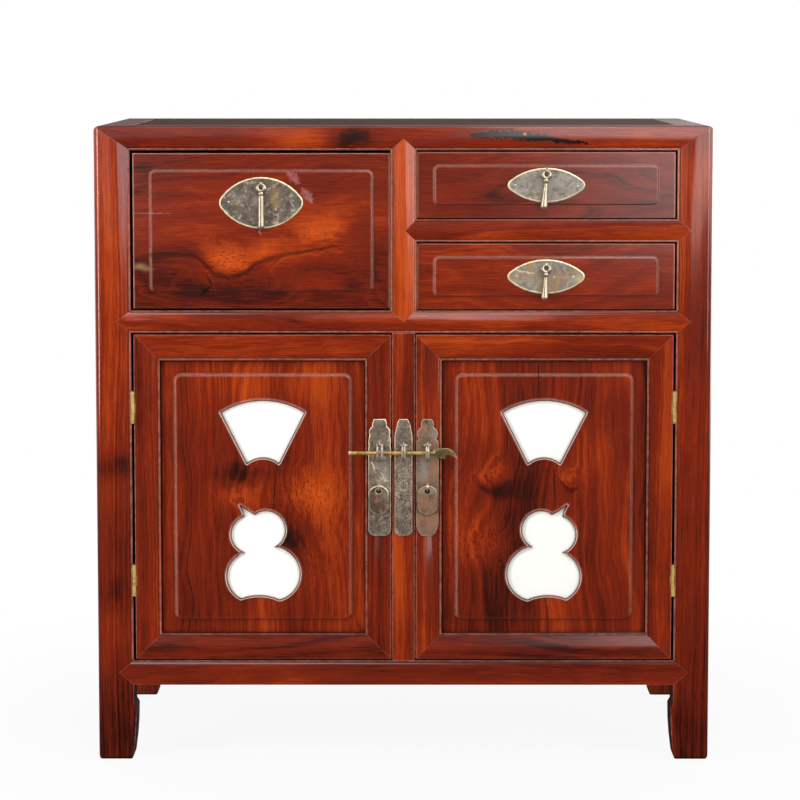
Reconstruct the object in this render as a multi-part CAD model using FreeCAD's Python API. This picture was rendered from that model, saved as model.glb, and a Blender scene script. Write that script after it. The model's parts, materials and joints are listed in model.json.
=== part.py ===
import FreeCAD, Part
import math
import os

V = FreeCAD.Vector

# Kang cabinet in polished hardwood: three drawers over a two-door cupboard, in millimetres.
# X runs left to right, the front faces -Y and Z is up. The origin is the middle of the floor print.

# Overall size
cabinet_width = 720.0
cabinet_depth = 380.0
cabinet_height = 748.0

# Posts and feet
post_width = 42.0
post_arris_radius = 7.0
top_corner_radius = 7.0
top_arris_radius = 3.0
foot_step_top = 66.5
foot_step_height = 5.5
foot_swell = 2.7
foot_swell_level = 36.0
foot_swell_share = 0.75
foot_toe_inset = 1.2
foot_outer_radius = 6.0
foot_inner_radius = 4.5

# Rails and uprights of the front, from the top down
top_rail_height = 28.0
drawer_zone_height = 186.8
drawer_rail_height = 26.0
mid_rail_height = 26.0
bottom_rail_height = 29.1
leg_height = 90.2
rail_depth = 30.0
divider_width = 30.0
center_stile_width = 26.0
center_stile_depth = 26.0

# Joinery
rail_tip = 17.0
divider_tip = 13.0
shoulder_thickness = 9.0
tenon_setback = 11.0
tenon_thickness = 9.0
tenon_margin = 3.5
front_tenon_stop = 14.0
tenon_gap = 3.0
stub_tenon_length = 10.0
corner_tenon_size = 12.0
corner_tenon_inset = 20.0
corner_tenon_height = 18.0
tongue_length = 8.0
rebate_width = 10.0

# Bead, groove and soft roll along every opening of the frame
bead_width = 1.8
groove_width = 1.2
roll_width = 1.8
groove_depth = 1.2

# Panels and boards
panel_thickness = 8.0
panel_recess = 6.0
top_panel_thickness = 13.0
top_panel_drop = 0.6
top_tongue_thickness = 6.0
board_thickness = 12.0
partition_thickness = 10.0
brace_width = 34.0
brace_offset = 110.0
brace_clearance = 2.0
runner_thickness = 12.0
runner_ledge = 28.0
guide_height = 11.0

# Doors
door_thickness = 22.0
door_frame_width = 30.0
door_post_gap = 3.2
door_stile_gap = 1.5
door_gap_top = 2.2
door_gap_bottom = 2.0
door_tenon_setback = 13.5
door_tenon_thickness = 7.0
door_tenon_width = 14.0
door_tenon_stop = 3.0
door_panel_recess = 5.5
door_panel_margin = 17.0
door_panel_thickness = 6.5
field_rise = 3.0
field_corner_radius = 7.5
field_bevel = 1.2

# Fan and gourd openings of the door panels, and the plaques let in behind them
fan_top_half = 48.8
fan_bottom_half = 18.7
fan_bottom_crown = 7.0
gourd_half_width = 42.8
lip_width = 2.0
lip_rise = 0.8
plaque_recess = 2.0
plaque_overlap = 5.0
plaque_clearance = 0.15

# Drawers
drawer_front_thickness = 20.0
drawer_divider_gap = 1.0
left_drawer_post_gap = 3.4
small_drawer_post_gap = 2.4
left_drawer_gap_top = 3.6
left_drawer_gap_bottom = 2.6
small_drawer_gap_top = 2.2
small_drawer_gap_bottom = 1.6
left_drawer_margin = 20.0
small_drawer_margin_side = 19.5
small_drawer_margin_top = 15.5
drawer_field_rise = 2.5
drawer_field_radius = 6.0
drawer_side_thickness = 10.0
drawer_bottom_thickness = 6.0
drawer_bottom_lift = 5.0
drawer_groove_depth = 5.0
drawer_side_drop = 9.0
drawer_lap = 12.0
drawer_back_gap = 12.0
runner_clearance = 0.3
left_drawer_tails = 4
small_drawer_tails = 2
tail_height_share = 0.56
tail_flare_share = 0.16

# Butt hinges
hinge_height = 37.0
hinge_upper_inset = 85.7
hinge_lower_inset = 93.2
knuckle_radius = 2.1
hinge_pin_radius = 0.95
hinge_running_clearance = 0.05
knuckle_end_gap = 0.2
knuckle_recess_gap = 0.25
knuckle_count = 3
hinge_leaf_thickness = 1.2
hinge_leaf_width = 18.0
hinge_pin_head_height = 0.8
hinge_pin_head_radius = 1.7

# Lock plates, staples and lock bar
plate_thickness = 1.6
lock_plate_rise = 39.4
lock_plate_height = 137.6
door_plate_width = 26.5
door_plate_inset = 0.2
center_plate_width = 20.8
bar_rise = 53.5
bar_radius = 2.2
bar_stand = 3.6
bar_hole_clearance = 0.5
bar_left_end = -64.0
bar_collar_radius = 2.5
bar_collar_length = 4.0
bar_stop_radius = 3.0
bar_stop_length = 4.6
bar_stop_clearance = 0.4
bar_leaf_length = 27.5
bar_leaf_height = 13.6
bar_leaf_thickness = 1.6
staple_width = 8.0
staple_height = 20.0
staple_stand = 8.6
staple_crown_radius = 2.5
staple_crown_rise = 7.0
staple_crown_stand = 5.4
staple_shank_height = 3.0
staple_shank_width = 4.0
clench_thickness = 1.2
clench_length = 11.0

# Pull tags that hang on the two door plates
tag_width = 23.6
tag_fall = 38.4
tag_height = 35.2
tag_end_rise = 7.5
tag_thickness = 2.2
tag_plate_gap = 1.0
tag_hole_radius = 3.4
tag_rim_height = 3.2
tag_bevel = 0.6
left_tag_shift = -1.2
tag_loop_clearance = 0.5
tag_loop_wire = 1.8
tag_loop_width = 2.8
shank_radius = 1.2

# Drawer pulls: a back plate, a wire loop through it and a drop that hangs in the loop
pull_plate_thickness = 1.5
pull_plate_bevel = 0.8
left_pull_width = 97.6
left_pull_height = 60.0
left_pull_tip_radius = 11.0
left_pull_offset = 32.9
left_pull_rise = 21.5
left_drop_length = 52.0
left_drop_radius = 3.8
small_pull_width = 90.0
small_pull_height = 40.4
small_pull_tip_radius = 7.0
small_drop_radius = 3.5
small_drop_tilt = 4.5
upper_pull_rise = 16.2
upper_drop_length = 44.0
lower_pull_rise = 13.6
lower_drop_length = 40.5
eye_radius = 5.2
eye_hole_radius = 2.9
eye_thickness = 2.6
drop_bead_height = 4.4
drop_bead_share = 0.86
drop_neck_share = 0.62
drop_toe_share = 0.55
drop_toe_height = 2.4
pull_loop_clearance = 0.5
pull_loop_wire = 1.6
pull_loop_width = 2.2
pull_pivot_stand = 4.7

# Round hardware has this many flats, and the chords of an arc leave it by no more than this
turned_sides = 12
facet_sag = 0.18

# Cuts run this far past the surface
overrun = 1.0


# Outlines written as shares of the size that they follow
# Down the raised field of a door: space, crown of the fan, fan, space, gourd, and the rest is space
field_height_shares = (0.1056, 0.0487, 0.2071, 0.1712, 0.3876)

# Gourd: sideways as a share of the half width, upwards of the height; a pair of points is an arc
gourd_start_shares = (0.512, 0.882)
gourd_step_shares = (
    ((0.876, 0.715), (0.512, 0.499)),
    ((1.000, 0.253), (0.624, 0.011)),
    ((0.140, 0.047), (-0.442, 0.000)),
    ((-1.000, 0.253), (-0.301, 0.556)),
    ((-0.598, 0.724), (0.138, 0.925)),
    ((0.220, 0.897),),
    ((0.410, 0.938), (0.636, 1.000)),
    ((0.560, 0.945), (0.512, 0.882)),
)

# Lock plates: sideways as a share of the half width, downwards of the height, from the flat top
left_plate_start_shares = (0.51, 0.0)
left_plate_step_shares = (
    ((0.62, 0.026), (0.65, 0.064)),
    ((0.93, 0.098), (0.87, 0.138)),
    ((0.99, 0.180), (0.95, 0.228)),
    ((1.00, 0.255),),
    ((1.00, 0.920),),
    ((0.89, 0.978), (0.58, 1.000)),
)
center_plate_start_shares = (0.47, 0.0)
center_plate_step_shares = (
    ((0.68, 0.030), (0.83, 0.072)),
    ((0.88, 0.100),),
    ((0.97, 0.126), (1.00, 0.155)),
    ((1.00, 0.930),),
    ((0.88, 0.980), (0.50, 1.000)),
)
right_plate_start_shares = (0.33, 0.0)
right_plate_step_shares = (
    ((0.56, 0.032), (0.52, 0.068)),
    ((0.88, 0.106), (0.73, 0.172)),
    ((0.92, 0.186), (0.97, 0.222)),
    ((1.00, 0.250),),
    ((1.00, 0.885),),
    ((0.86, 0.950), (0.52, 1.000)),
)

# Leaf at the bar's right end: along as a share of its length, upwards of its height
bar_leaf_start_shares = (0.0, 0.30)
bar_leaf_step_shares = (
    ((0.28, 0.42), (0.56, 0.41)),
    ((0.84, 0.20), (1.00, -0.50)),
    ((0.80, -0.22), (0.56, -0.12)),
    ((0.47, -0.50),),
    ((0.28, -0.36), (0.00, -0.14)),
)


# Planes and levels worked out from the sizes
bar_hole_radius = bar_radius + bar_hole_clearance
pull_loop_hole = math.hypot(eye_radius - eye_hole_radius, eye_thickness) / 2 + pull_loop_clearance
pull_loop_radius = pull_loop_hole + pull_loop_wire
tag_loop_hole = math.hypot(tag_rim_height, tag_thickness) / 2 + tag_loop_clearance
tag_loop_radius = tag_loop_hole + tag_loop_wire
pull_reach = pull_pivot_stand + max(left_drop_radius, small_drop_radius, pull_loop_radius)
hardware_reach = max(plate_thickness + staple_stand, pull_plate_thickness + pull_reach)

half_width = cabinet_width / 2
front_y = -(cabinet_depth - hardware_reach) / 2
back_y = front_y + cabinet_depth
middle_y = (front_y + back_y) / 2
opening_edge_x = half_width - post_width
post_back_y = front_y + post_width
rear_post_y = back_y - post_width
rail_back_y = front_y + rail_depth
rear_rail_y = back_y - rail_depth
back_panel_y = back_y - panel_recess - panel_thickness
side_panel_x = half_width - panel_recess - panel_thickness

top_rail_base = cabinet_height - top_rail_height
mid_rail_top = top_rail_base - drawer_zone_height
mid_rail_base = mid_rail_top - mid_rail_height
bottom_rail_base = leg_height
bottom_rail_top = bottom_rail_base + bottom_rail_height
cupboard_height = mid_rail_base - bottom_rail_top
front_tenon_length = post_width - front_tenon_stop
side_tenon_length = post_width - tenon_setback - tenon_thickness - tenon_gap
small_opening_height = (drawer_zone_height - drawer_rail_height) / 2
drawer_rail_base = mid_rail_top + small_opening_height
drawer_rail_top = drawer_rail_base + drawer_rail_height
top_panel_top = cabinet_height - top_panel_drop
top_panel_base = top_panel_top - top_panel_thickness
half_divider = divider_width / 2
half_stile = center_stile_width / 2

door_inner_x = half_stile + door_stile_gap
door_outer_x = opening_edge_x - door_post_gap
door_base = bottom_rail_top + door_gap_bottom
door_top = mid_rail_base - door_gap_top
door_field_y = front_y + door_panel_recess - field_rise
door_panel_back_y = front_y + door_panel_recess + door_panel_thickness
door_middle_x = (door_inner_x + door_outer_x) / 2
field_top = door_top - door_frame_width - door_panel_margin
field_height = field_top - door_base - door_frame_width - door_panel_margin
field_levels = [field_top - field_height * sum(field_height_shares[: i + 1]) for i in range(5)]
fan_top, fan_corner_top, fan_corner_base, gourd_top, gourd_base = field_levels
hinge_x = opening_edge_x - door_post_gap / 2
hinge_y = front_y

plate_front_y = front_y - plate_thickness
bar_level = (door_base + door_top) / 2 + bar_rise
lock_plate_top = bar_level + lock_plate_rise
tag_top_level = bar_level - tag_fall
bar_y = plate_front_y - bar_stand
door_plate_x = door_inner_x + door_plate_inset + door_plate_width / 2
tag_y = plate_front_y - tag_plate_gap - tag_thickness / 2
tag_pivot_z = tag_top_level - tag_rim_height / 2
pull_pivot_y = front_y - pull_plate_thickness - pull_pivot_stand
eye_drop = (eye_radius + eye_hole_radius) / 2

# Points closer than this are one point
same_point = 1e-5


def block(x0, x1, y0, y1, z0, z1):
    """Box between two corners."""
    return Part.makeBox(x1 - x0, y1 - y0, z1 - z0, V(x0, y0, z0))


def joined(shapes):
    """One solid out of several that touch or overlap."""
    return shapes[0].fuse(list(shapes[1:])).removeSplitter()


def without(shape, tools):
    """The shape less every tool that comes near it."""
    near = [t for t in tools if t.BoundBox.intersect(shape.BoundBox)]
    return shape.cut(near) if near else shape


def mirrored_x(shape):
    """The same piece on the other side of the cabinet."""
    return shape.mirror(V(0, 0, 0), V(1, 0, 0))


def mirrored_y(shape):
    """The same piece at the other end of the cabinet's depth."""
    return shape.mirror(V(0, middle_y, 0), V(0, 1, 0))


def moved(shape, x, y, z, turn=0):
    """A copy turned about Z by degrees and then set at a place."""
    copy = shape.copy()
    copy.rotate(V(0, 0, 0), V(0, 0, 1), turn)
    copy.translate(V(x, y, z))
    return copy


def outline(start, steps):
    """Closed wire in the XZ plane. A step of one point is a line, of two an arc by way of the first."""
    edges = []
    first = V(start[0], 0, start[1])
    here = first
    for step in steps:
        end = V(step[-1][0], 0, step[-1][1])
        if len(step) == 1:
            edges.append(Part.makeLine(here, end))
        else:
            way = V(step[0][0], 0, step[0][1])
            edges.append(Part.Arc(here, way, end).toShape())
        here = end
    if not here.isEqual(first, same_point):
        edges.append(Part.makeLine(here, first))
    return Part.Wire(edges)


def chorded(wire):
    """The outline with each arc turned into straight lines that leave it by a hair."""
    corners = []
    for vertex, edge in zip(wire.OrderedVertexes, wire.OrderedEdges):
        count = 1
        if isinstance(edge.Curve, Part.Circle):
            chord = 2 * math.sqrt(2 * edge.Curve.Radius * facet_sag - facet_sag**2)
            count = math.ceil(edge.Length / chord)
        points = edge.discretize(count + 1)
        if not points[0].isEqual(vertex.Point, same_point):
            points.reverse()
        corners += points[:-1]
    return Part.makePolygon(corners + corners[:1])


def slab(wire, y0, y1):
    """Solid between two Y planes over an outline of the XZ plane."""
    face = Part.Face(wire)
    face.translate(V(0, y0, 0))
    return face.extrude(V(0, y1 - y0, 0))


def edge_band(edge, distance):
    """Face that reaches a distance to both sides of a line or an arc of an outline."""
    a = edge.Vertexes[0].Point
    b = edge.Vertexes[-1].Point
    if isinstance(edge.Curve, Part.Line):
        side = (b - a).cross(V(0, 1, 0)).normalize() * distance
        return Part.Face(Part.makePolygon([a + side, b + side, b - side, a - side, a + side]))
    return Part.Face(Part.Wire([edge]).makeOffset2D(distance, 0, False, False))


def grown(wire, distance):
    """The outline moved outwards all round."""
    faces = [edge_band(edge, distance) for edge in wire.Edges]
    for corner in wire.Vertexes:
        circle = Part.makeCircle(distance, corner.Point, V(0, 1, 0))
        faces.append(Part.Face(Part.Wire([circle])))
    return chorded(Part.Face(wire).fuse(faces).removeSplitter().Faces[0].OuterWire)


def polygon(points):
    """Closed outline of straight lines in the XZ plane."""
    return outline(points[0], [(p,) for p in points[1:]])


def scaled(point, wide, high):
    """A point of shares turned into sizes."""
    return (point[0] * wide, point[1] * high)


def scaled_steps(shares, wide, high):
    """Outline steps of shares turned into sizes."""
    return [[scaled(p, wide, high) for p in step] for step in shares]


def rounded_rectangle(x0, x1, z0, z1, radius):
    """Rectangle of the XZ plane with round corners."""
    near = radius * (1 - math.sqrt(0.5))
    steps = (
        ((x1 - radius, z0),),
        ((x1 - near, z0 + near), (x1, z0 + radius)),
        ((x1, z1 - radius),),
        ((x1 - near, z1 - near), (x1 - radius, z1)),
        ((x0 + radius, z1),),
        ((x0 + near, z1 - near), (x0, z1 - radius)),
        ((x0, z0 + radius),),
        ((x0 + near, z0 + near), (x0 + radius, z0)),
    )
    return chorded(outline((x0 + radius, z0), steps))


def edges_on_y(shape, y):
    """The edges of a solid that lie in one Y plane."""
    flat = []
    for edge in shape.Edges:
        bound = edge.BoundBox
        if abs(bound.YMin - y) < same_point and abs(bound.YMax - y) < same_point:
            flat.append(edge)
    return flat


def bevelled_slab(wire, y0, y1, bevel):
    """Slab whose edges on its front plane are bevelled."""
    solid = slab(wire, y0, y1)
    return solid.makeChamfer(bevel, edges_on_y(solid, y0))


def solid_of(faces):
    """Solid inside faces that close on each other."""
    solid = Part.Solid(Part.Shell(faces))
    if solid.Volume < 0:
        solid.reverse()
    return solid


def skinned(rings):
    """Solid of flat faces between rings of as many points each, closed at both ends."""
    faces = [Part.Face(Part.makePolygon(ring + ring[:1])) for ring in (rings[0], rings[-1])]
    for low, high in zip(rings, rings[1:]):
        for i, corner in enumerate(low):
            before = (low[i - 1], high[i - 1])
            faces.append(Part.Face(Part.makePolygon([corner, high[i], before[1], before[0], corner])))
    return solid_of(faces)


def turned(profile):
    """Solid about Z from (radius, height) points, with a few flat sides."""
    turns = [2 * math.pi * (i + 0.5) / turned_sides for i in range(turned_sides)]
    return skinned([[V(r * math.cos(t), r * math.sin(t), h) for t in turns] for r, h in profile])


def turned_x(profile, x, y, z):
    """The same about X, from a place."""
    solid = turned(profile)
    solid.rotate(V(0, 0, 0), V(0, 1, 0), 90)
    solid.translate(V(x, y, z))
    return solid


def rod_x(x0, x1, y, z, radius):
    """Rod along X."""
    return turned_x(((radius, 0), (radius, x1 - x0)), x0, y, z)


def rod_y(x, y0, y1, z, radius):
    """Rod along Y."""
    solid = turned(((radius, 0), (radius, y1 - y0)))
    solid.rotate(V(0, 0, 0), V(1, 0, 0), -90)
    solid.translate(V(x, y0, z))
    return solid


def rod_z(x, y, z0, z1, radius):
    """Rod along Z."""
    solid = turned(((radius, 0), (radius, z1 - z0)))
    solid.translate(V(x, y, z0))
    return solid


# Joinery of the frame

def rail(length, height, depth, tips, tenons):
    """Rail along X from 0, with its face on y = 0 and pointed shoulders and tenons past both ends."""
    pieces = [block(0, length, 0, depth, 0, height)]
    for end, outward, tip, tenon in ((0, -1, tips[0], tenons[0]), (length, 1, tips[1], tenons[1])):
        if tip:
            point = (end + outward * tip, height / 2)
            corners = ((end, 0), (end, height), point)
            pieces.append(slab(polygon(corners), 0, shoulder_thickness))
        if tenon:
            x0, x1 = sorted((end, end + outward * tenon))
            pieces.append(
                block(
                    x0,
                    x1,
                    tenon_setback,
                    tenon_setback + tenon_thickness,
                    tenon_margin,
                    height - tenon_margin,
                )
            )
    return joined(pieces)


def stood_up(member, x, y, z):
    """A rail turned to run upwards, centred on x."""
    copy = member.copy()
    copy.rotate(V(0, 0, 0), V(0, 1, 0), -90)
    middle = (copy.BoundBox.XMin + copy.BoundBox.XMax) / 2
    copy.translate(V(x - middle, y, z))
    return copy


def rectangle_at(x0, x1, z0, z1, y):
    """Corners of a rectangle in a Y plane."""
    return [V(x0, y, z0), V(x1, y, z0), V(x1, y, z1), V(x0, y, z1)]


def groove_ring(x0, x1, z0, z1):
    """Cutter for the groove and roll beside the bead round an opening of a frame with its face on y = 0."""
    floor = bead_width + groove_width
    mouth = floor + roll_width * (groove_depth + overrun) / groove_depth
    wide = rectangle_at(x0 - mouth, x1 + mouth, z0 - mouth, z1 + mouth, -overrun)
    deep = rectangle_at(x0 - floor, x1 + floor, z0 - floor, z1 + floor, groove_depth)
    funnel = skinned([wide, deep])
    bead = block(
        x0 - bead_width,
        x1 + bead_width,
        -2 * overrun,
        groove_depth + overrun,
        z0 - bead_width,
        z1 + bead_width,
    )
    return funnel.cut(bead)


def post_profile():
    """Post from its outer face at 0 to its inner face, with the swelling foot, in the XZ plane."""
    step_base = foot_step_top - foot_step_height
    toe = post_width - foot_toe_inset
    outer_near = foot_outer_radius * (1 - math.sqrt(0.5))
    inner_near = foot_inner_radius * (1 - math.sqrt(0.5))
    steps = (
        ((0, top_rail_base),),
        ((post_width, top_rail_base),),
        ((post_width, foot_step_top),),
        ((post_width + foot_swell, step_base),),
        ((post_width + foot_swell * foot_swell_share, foot_swell_level), (toe, foot_inner_radius)),
        ((toe - inner_near, inner_near), (toe - foot_inner_radius, 0)),
        ((foot_outer_radius, 0),),
        ((outer_near, outer_near), (0, foot_outer_radius)),
    )
    return chorded(outline((0, foot_outer_radius), steps))


def pyramid(base, apex):
    """Solid over a four-cornered base."""
    faces = [Part.Face(Part.makePolygon(base + base[:1]))]
    for a, b in zip(base, base[1:] + base[:1]):
        faces.append(Part.Face(Part.makePolygon([a, b, apex, a])))
    return solid_of(faces)


def corner_pyramids():
    """The three mitred ends that meet at the top front left corner: post, front rail and side rail."""
    x0 = -half_width
    x1 = -opening_edge_x
    y0 = front_y
    y1 = post_back_y
    z0 = top_rail_base
    z1 = cabinet_height
    apex = V(x0, y0, z1)
    post = [V(x0, y0, z0), V(x1, y0, z0), V(x1, y1, z0), V(x0, y1, z0)]
    front = [V(x1, y0, z0), V(x1, y1, z0), V(x1, y1, z1), V(x1, y0, z1)]
    side = [V(x0, y1, z0), V(x1, y1, z0), V(x1, y1, z1), V(x0, y1, z1)]
    return pyramid(post, apex), pyramid(front, apex), pyramid(side, apex)


def soft_envelope():
    """The cabinet's outer form: round post arrises and top corners that the whole frame is worked to."""
    far_up = cabinet_height + overrun
    below = -top_corner_radius - overrun
    wide = rounded_rectangle(-half_width, half_width, below, cabinet_height, top_corner_radius)
    deep = rounded_rectangle(front_y, back_y, below, cabinet_height, top_arris_radius)
    plan = rounded_rectangle(-half_width, half_width, -back_y, -front_y, post_arris_radius)
    across = slab(wide, front_y - overrun, back_y + overrun)
    along = moved(slab(deep, -half_width - overrun, half_width + overrun), 0, 0, 0, 90)
    upright = slab(plan, -overrun, far_up)
    upright.rotate(V(0, 0, 0), V(1, 0, 0), 90)
    return across.common(along).common(upright)


# Carcass

def frame_posts():
    """Four posts, in the order front left, front right, back left, back right."""
    wire = post_profile()
    deep = post_width + foot_swell
    across = moved(slab(wire, 0, deep), -half_width, front_y, 0)
    along = slab(wire, -deep, 0)
    along.rotate(V(0, 0, 0), V(0, 0, 1), 90)
    along.translate(V(-half_width, front_y, 0))
    tenon = block(
        -half_width + corner_tenon_inset,
        -half_width + corner_tenon_inset + corner_tenon_size,
        front_y + corner_tenon_inset,
        front_y + corner_tenon_inset + corner_tenon_size,
        top_rail_base - overrun,
        top_rail_base + corner_tenon_height,
    )
    left = joined([across.common(along), corner_pyramids()[0], tenon])
    right = mirrored_x(left)
    return [left, right, mirrored_y(left), mirrored_y(right)], tenon


def front_rails():
    """Rails and uprights of the front, by node name."""
    span = 2 * opening_edge_x
    tips = (rail_tip, rail_tip)
    tenons = (front_tenon_length, front_tenon_length)
    mid = rail(span, mid_rail_height, rail_depth, tips, tenons)
    mid = moved(mid, -opening_edge_x, front_y, mid_rail_base)
    bottom = rail(span, bottom_rail_height, rail_depth, tips, tenons)
    bottom = moved(bottom, -opening_edge_x, front_y, bottom_rail_base)
    divider = stood_up(
        rail(
            drawer_zone_height,
            divider_width,
            rail_depth,
            (divider_tip, divider_tip),
            (stub_tenon_length, stub_tenon_length),
        ),
        0,
        front_y,
        mid_rail_top,
    )
    drawer = moved(
        rail(
            opening_edge_x - half_divider,
            drawer_rail_height,
            rail_depth,
            (divider_tip, rail_tip),
            (stub_tenon_length, front_tenon_length),
        ),
        half_divider,
        front_y,
        drawer_rail_base,
    )
    stile = stood_up(
        rail(
            cupboard_height,
            center_stile_width,
            center_stile_depth,
            (0, 0),
            (stub_tenon_length, stub_tenon_length),
        ),
        0,
        front_y,
        bottom_rail_top,
    )
    divider = divider.cut(drawer)
    mid = without(mid, [divider, stile])
    bottom = bottom.cut(stile)
    return {
        "mid_rail_front": mid,
        "bottom_rail_front": bottom,
        "drawer_rail_front": drawer,
        "drawer_divider_front": divider,
        "center_stile": stile,
    }


def side_rails(height, level):
    """Two rails of the sides at one level, the right one first, with pointed shoulders on their faces."""
    span = rear_post_y - post_back_y
    tips = (rail_tip, rail_tip)
    tenons = (side_tenon_length, side_tenon_length)
    right = moved(rail(span, height, rail_depth, tips, tenons), half_width, post_back_y, level, 90)
    return [right, mirrored_x(right)]


def back_rails():
    """Plain rails of the back under the drawers and under the cupboard."""
    rails = []
    for height, level in ((mid_rail_height, mid_rail_base), (bottom_rail_height, bottom_rail_base)):
        plain = rail(
            2 * opening_edge_x, height, rail_depth, (0, 0), (front_tenon_length, front_tenon_length)
        )
        rails.append(mirrored_y(moved(plain, -opening_edge_x, front_y, level)))
    return rails


def top_frame():
    """The top's two long rails and two side rails, mitred three ways into the posts."""
    post, front_end, side_end = corner_pyramids()
    run = block(-opening_edge_x, opening_edge_x, front_y, post_back_y, top_rail_base, cabinet_height)
    front = joined([run, front_end, mirrored_x(front_end)])
    run = block(-half_width, -opening_edge_x, post_back_y, rear_post_y, top_rail_base, cabinet_height)
    left = joined([run, side_end, mirrored_y(side_end)])
    return front, mirrored_y(front), left, mirrored_x(left)


def top_board():
    """Floating top panel with a tongue all round."""
    board = block(
        -opening_edge_x, opening_edge_x, post_back_y, rear_post_y, top_panel_base, top_panel_top
    )
    tongue = block(
        -opening_edge_x - tongue_length,
        opening_edge_x + tongue_length,
        post_back_y - tongue_length,
        rear_post_y + tongue_length,
        top_panel_base,
        top_panel_base + top_tongue_thickness,
    )
    return joined([board, tongue])


def top_braces():
    """Two battens under the top panel, tenoned into the long rails."""
    braces = []
    for side in (-1, 1):
        middle = side * brace_offset
        x0 = middle - brace_width / 2
        x1 = middle + brace_width / 2
        braces.append(
            block(
                x0,
                x1,
                post_back_y - stub_tenon_length,
                rear_post_y + stub_tenon_length,
                top_rail_base + brace_clearance,
                top_panel_base,
            )
        )
    return braces


def zones():
    """Heights of the two openings of each side and of the back, between the rails."""
    return ((bottom_rail_top, mid_rail_base), (mid_rail_top, top_rail_base))


def side_panels():
    """Floating side panels, two on the right and two on the left."""
    panels = []
    for z0, z1 in zones():
        right = block(
            side_panel_x,
            side_panel_x + panel_thickness,
            post_back_y - tongue_length,
            rear_post_y + tongue_length,
            z0 - tongue_length,
            z1 + tongue_length,
        )
        panels += [right, mirrored_x(right)]
    return panels


def back_panels():
    """Floating back panels, lower and upper."""
    return [
        block(
            -opening_edge_x - tongue_length,
            opening_edge_x + tongue_length,
            back_panel_y,
            back_panel_y + panel_thickness,
            z0 - tongue_length,
            z1 + tongue_length,
        )
        for z0, z1 in zones()
    ]


def floor_board(level, posts):
    """Board let into rebates of the rails with its top flush with theirs, notched round the posts."""
    side = half_width - rail_depth + rebate_width
    board = block(
        -side,
        side,
        rail_back_y - rebate_width,
        rear_rail_y + rebate_width,
        level - board_thickness,
        level,
    )
    return without(board, posts)


def inner_partition():
    """Upright board between the drawers, behind the divider."""
    half = partition_thickness / 2
    return block(-half, half, rail_back_y, back_panel_y, mid_rail_top, top_rail_base)


def drawer_runners(posts):
    """Ledges under the upper small drawer, and guide strips beside the others."""
    half = partition_thickness / 2
    inner = half_width - rail_depth + rebate_width
    y0 = rail_back_y
    y1 = back_panel_y
    top = drawer_rail_top
    base = top - runner_thickness
    near = joined(
        [
            block(half, half_divider + runner_ledge, y0, y1, base, top),
            block(half, half_divider, y0, y1, top, top + guide_height),
        ]
    )
    far = joined(
        [
            block(opening_edge_x - runner_ledge, side_panel_x, y0, y1, base, top),
            block(opening_edge_x, side_panel_x, y0, y1, top, top + guide_height),
        ]
    )
    strips = [near, without(far, posts)]
    spans = (
        (-inner, -opening_edge_x),
        (-half_divider, -half),
        (half, half_divider),
        (opening_edge_x, inner),
    )
    for x0, x1 in spans:
        strip = block(x0, x1, y0, y1, mid_rail_top, mid_rail_top + guide_height)
        strips.append(without(strip, posts))
    return strips


def front_openings():
    """Left, right, bottom and top of every opening of the front."""
    edge = opening_edge_x
    return (
        (-edge, edge, bottom_rail_top, mid_rail_base),
        (-edge, -half_divider, mid_rail_top, top_rail_base),
        (half_divider, edge, mid_rail_top, drawer_rail_base),
        (half_divider, edge, drawer_rail_top, top_rail_base),
    )


def frame_grooves():
    """Cutters for the grooves of the front and of both sides."""
    front = [moved(groove_ring(*opening), 0, front_y, 0) for opening in front_openings()]
    sides = []
    for z0, z1 in zones():
        ring = groove_ring(post_back_y, rear_post_y, z0, z1)
        sides.append(moved(ring, half_width, 0, 0, 90))
    return front, sides + [mirrored_x(ring) for ring in sides]


# Hinges

def hinge_levels():
    """Middles of a door's two hinges."""
    return (door_base + hinge_lower_inset, door_top - hinge_upper_inset)


def knuckle_spans(level):
    """Bottom and top of each knuckle of one hinge, from the bottom up."""
    step = hinge_height / knuckle_count
    base = level - hinge_height / 2
    return [
        (base + i * step + knuckle_end_gap / 2, base + (i + 1) * step - knuckle_end_gap / 2)
        for i in range(knuckle_count)
    ]


def knuckle_recess(level):
    """Room for the knuckles in the edges of the post and the door."""
    half = hinge_height / 2 + knuckle_recess_gap + hinge_pin_head_height
    reach = knuckle_radius + knuckle_recess_gap
    return block(
        hinge_x - reach,
        hinge_x + reach,
        hinge_y - overrun,
        hinge_y + reach,
        level - half,
        level + half,
    )


def hinge_leaf(level, on_door):
    """Right-hand leaf with its knuckles: the odd ones on the post, the even ones on the door."""
    half = hinge_height / 2
    if on_door:
        x0, x1 = door_outer_x - hinge_leaf_thickness, door_outer_x
    else:
        x0, x1 = opening_edge_x, opening_edge_x + hinge_leaf_thickness
    leaf = block(x0, x1, hinge_y, hinge_y + hinge_leaf_width, level - half, level + half)
    bore = rod_z(
        hinge_x,
        hinge_y,
        level - half - overrun,
        level + half + overrun,
        hinge_pin_radius + hinge_running_clearance,
    )
    own = []
    notches = []
    for i, (z0, z1) in enumerate(knuckle_spans(level)):
        if (i % 2 == 1) == on_door:
            own.append(rod_z(hinge_x, hinge_y, z0, z1, knuckle_radius))
        else:
            room = hinge_y + knuckle_radius + knuckle_recess_gap
            low = z0 - knuckle_end_gap
            notches.append(block(x0, x1, hinge_y, room, low, z1 + knuckle_end_gap))
    return joined([leaf.cut(notches)] + own).cut(bore)


def hinge_pin(level):
    """Pin with a small head at its top."""
    top = level + hinge_height / 2
    base = V(hinge_x, hinge_y, level - hinge_height / 2)
    shank = Part.makeCylinder(hinge_pin_radius, hinge_height, base)
    head = rod_z(hinge_x, hinge_y, top, top + hinge_pin_head_height, hinge_pin_head_radius)
    return joined([shank, head])


# Lock plates, staples, bar and tags

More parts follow.
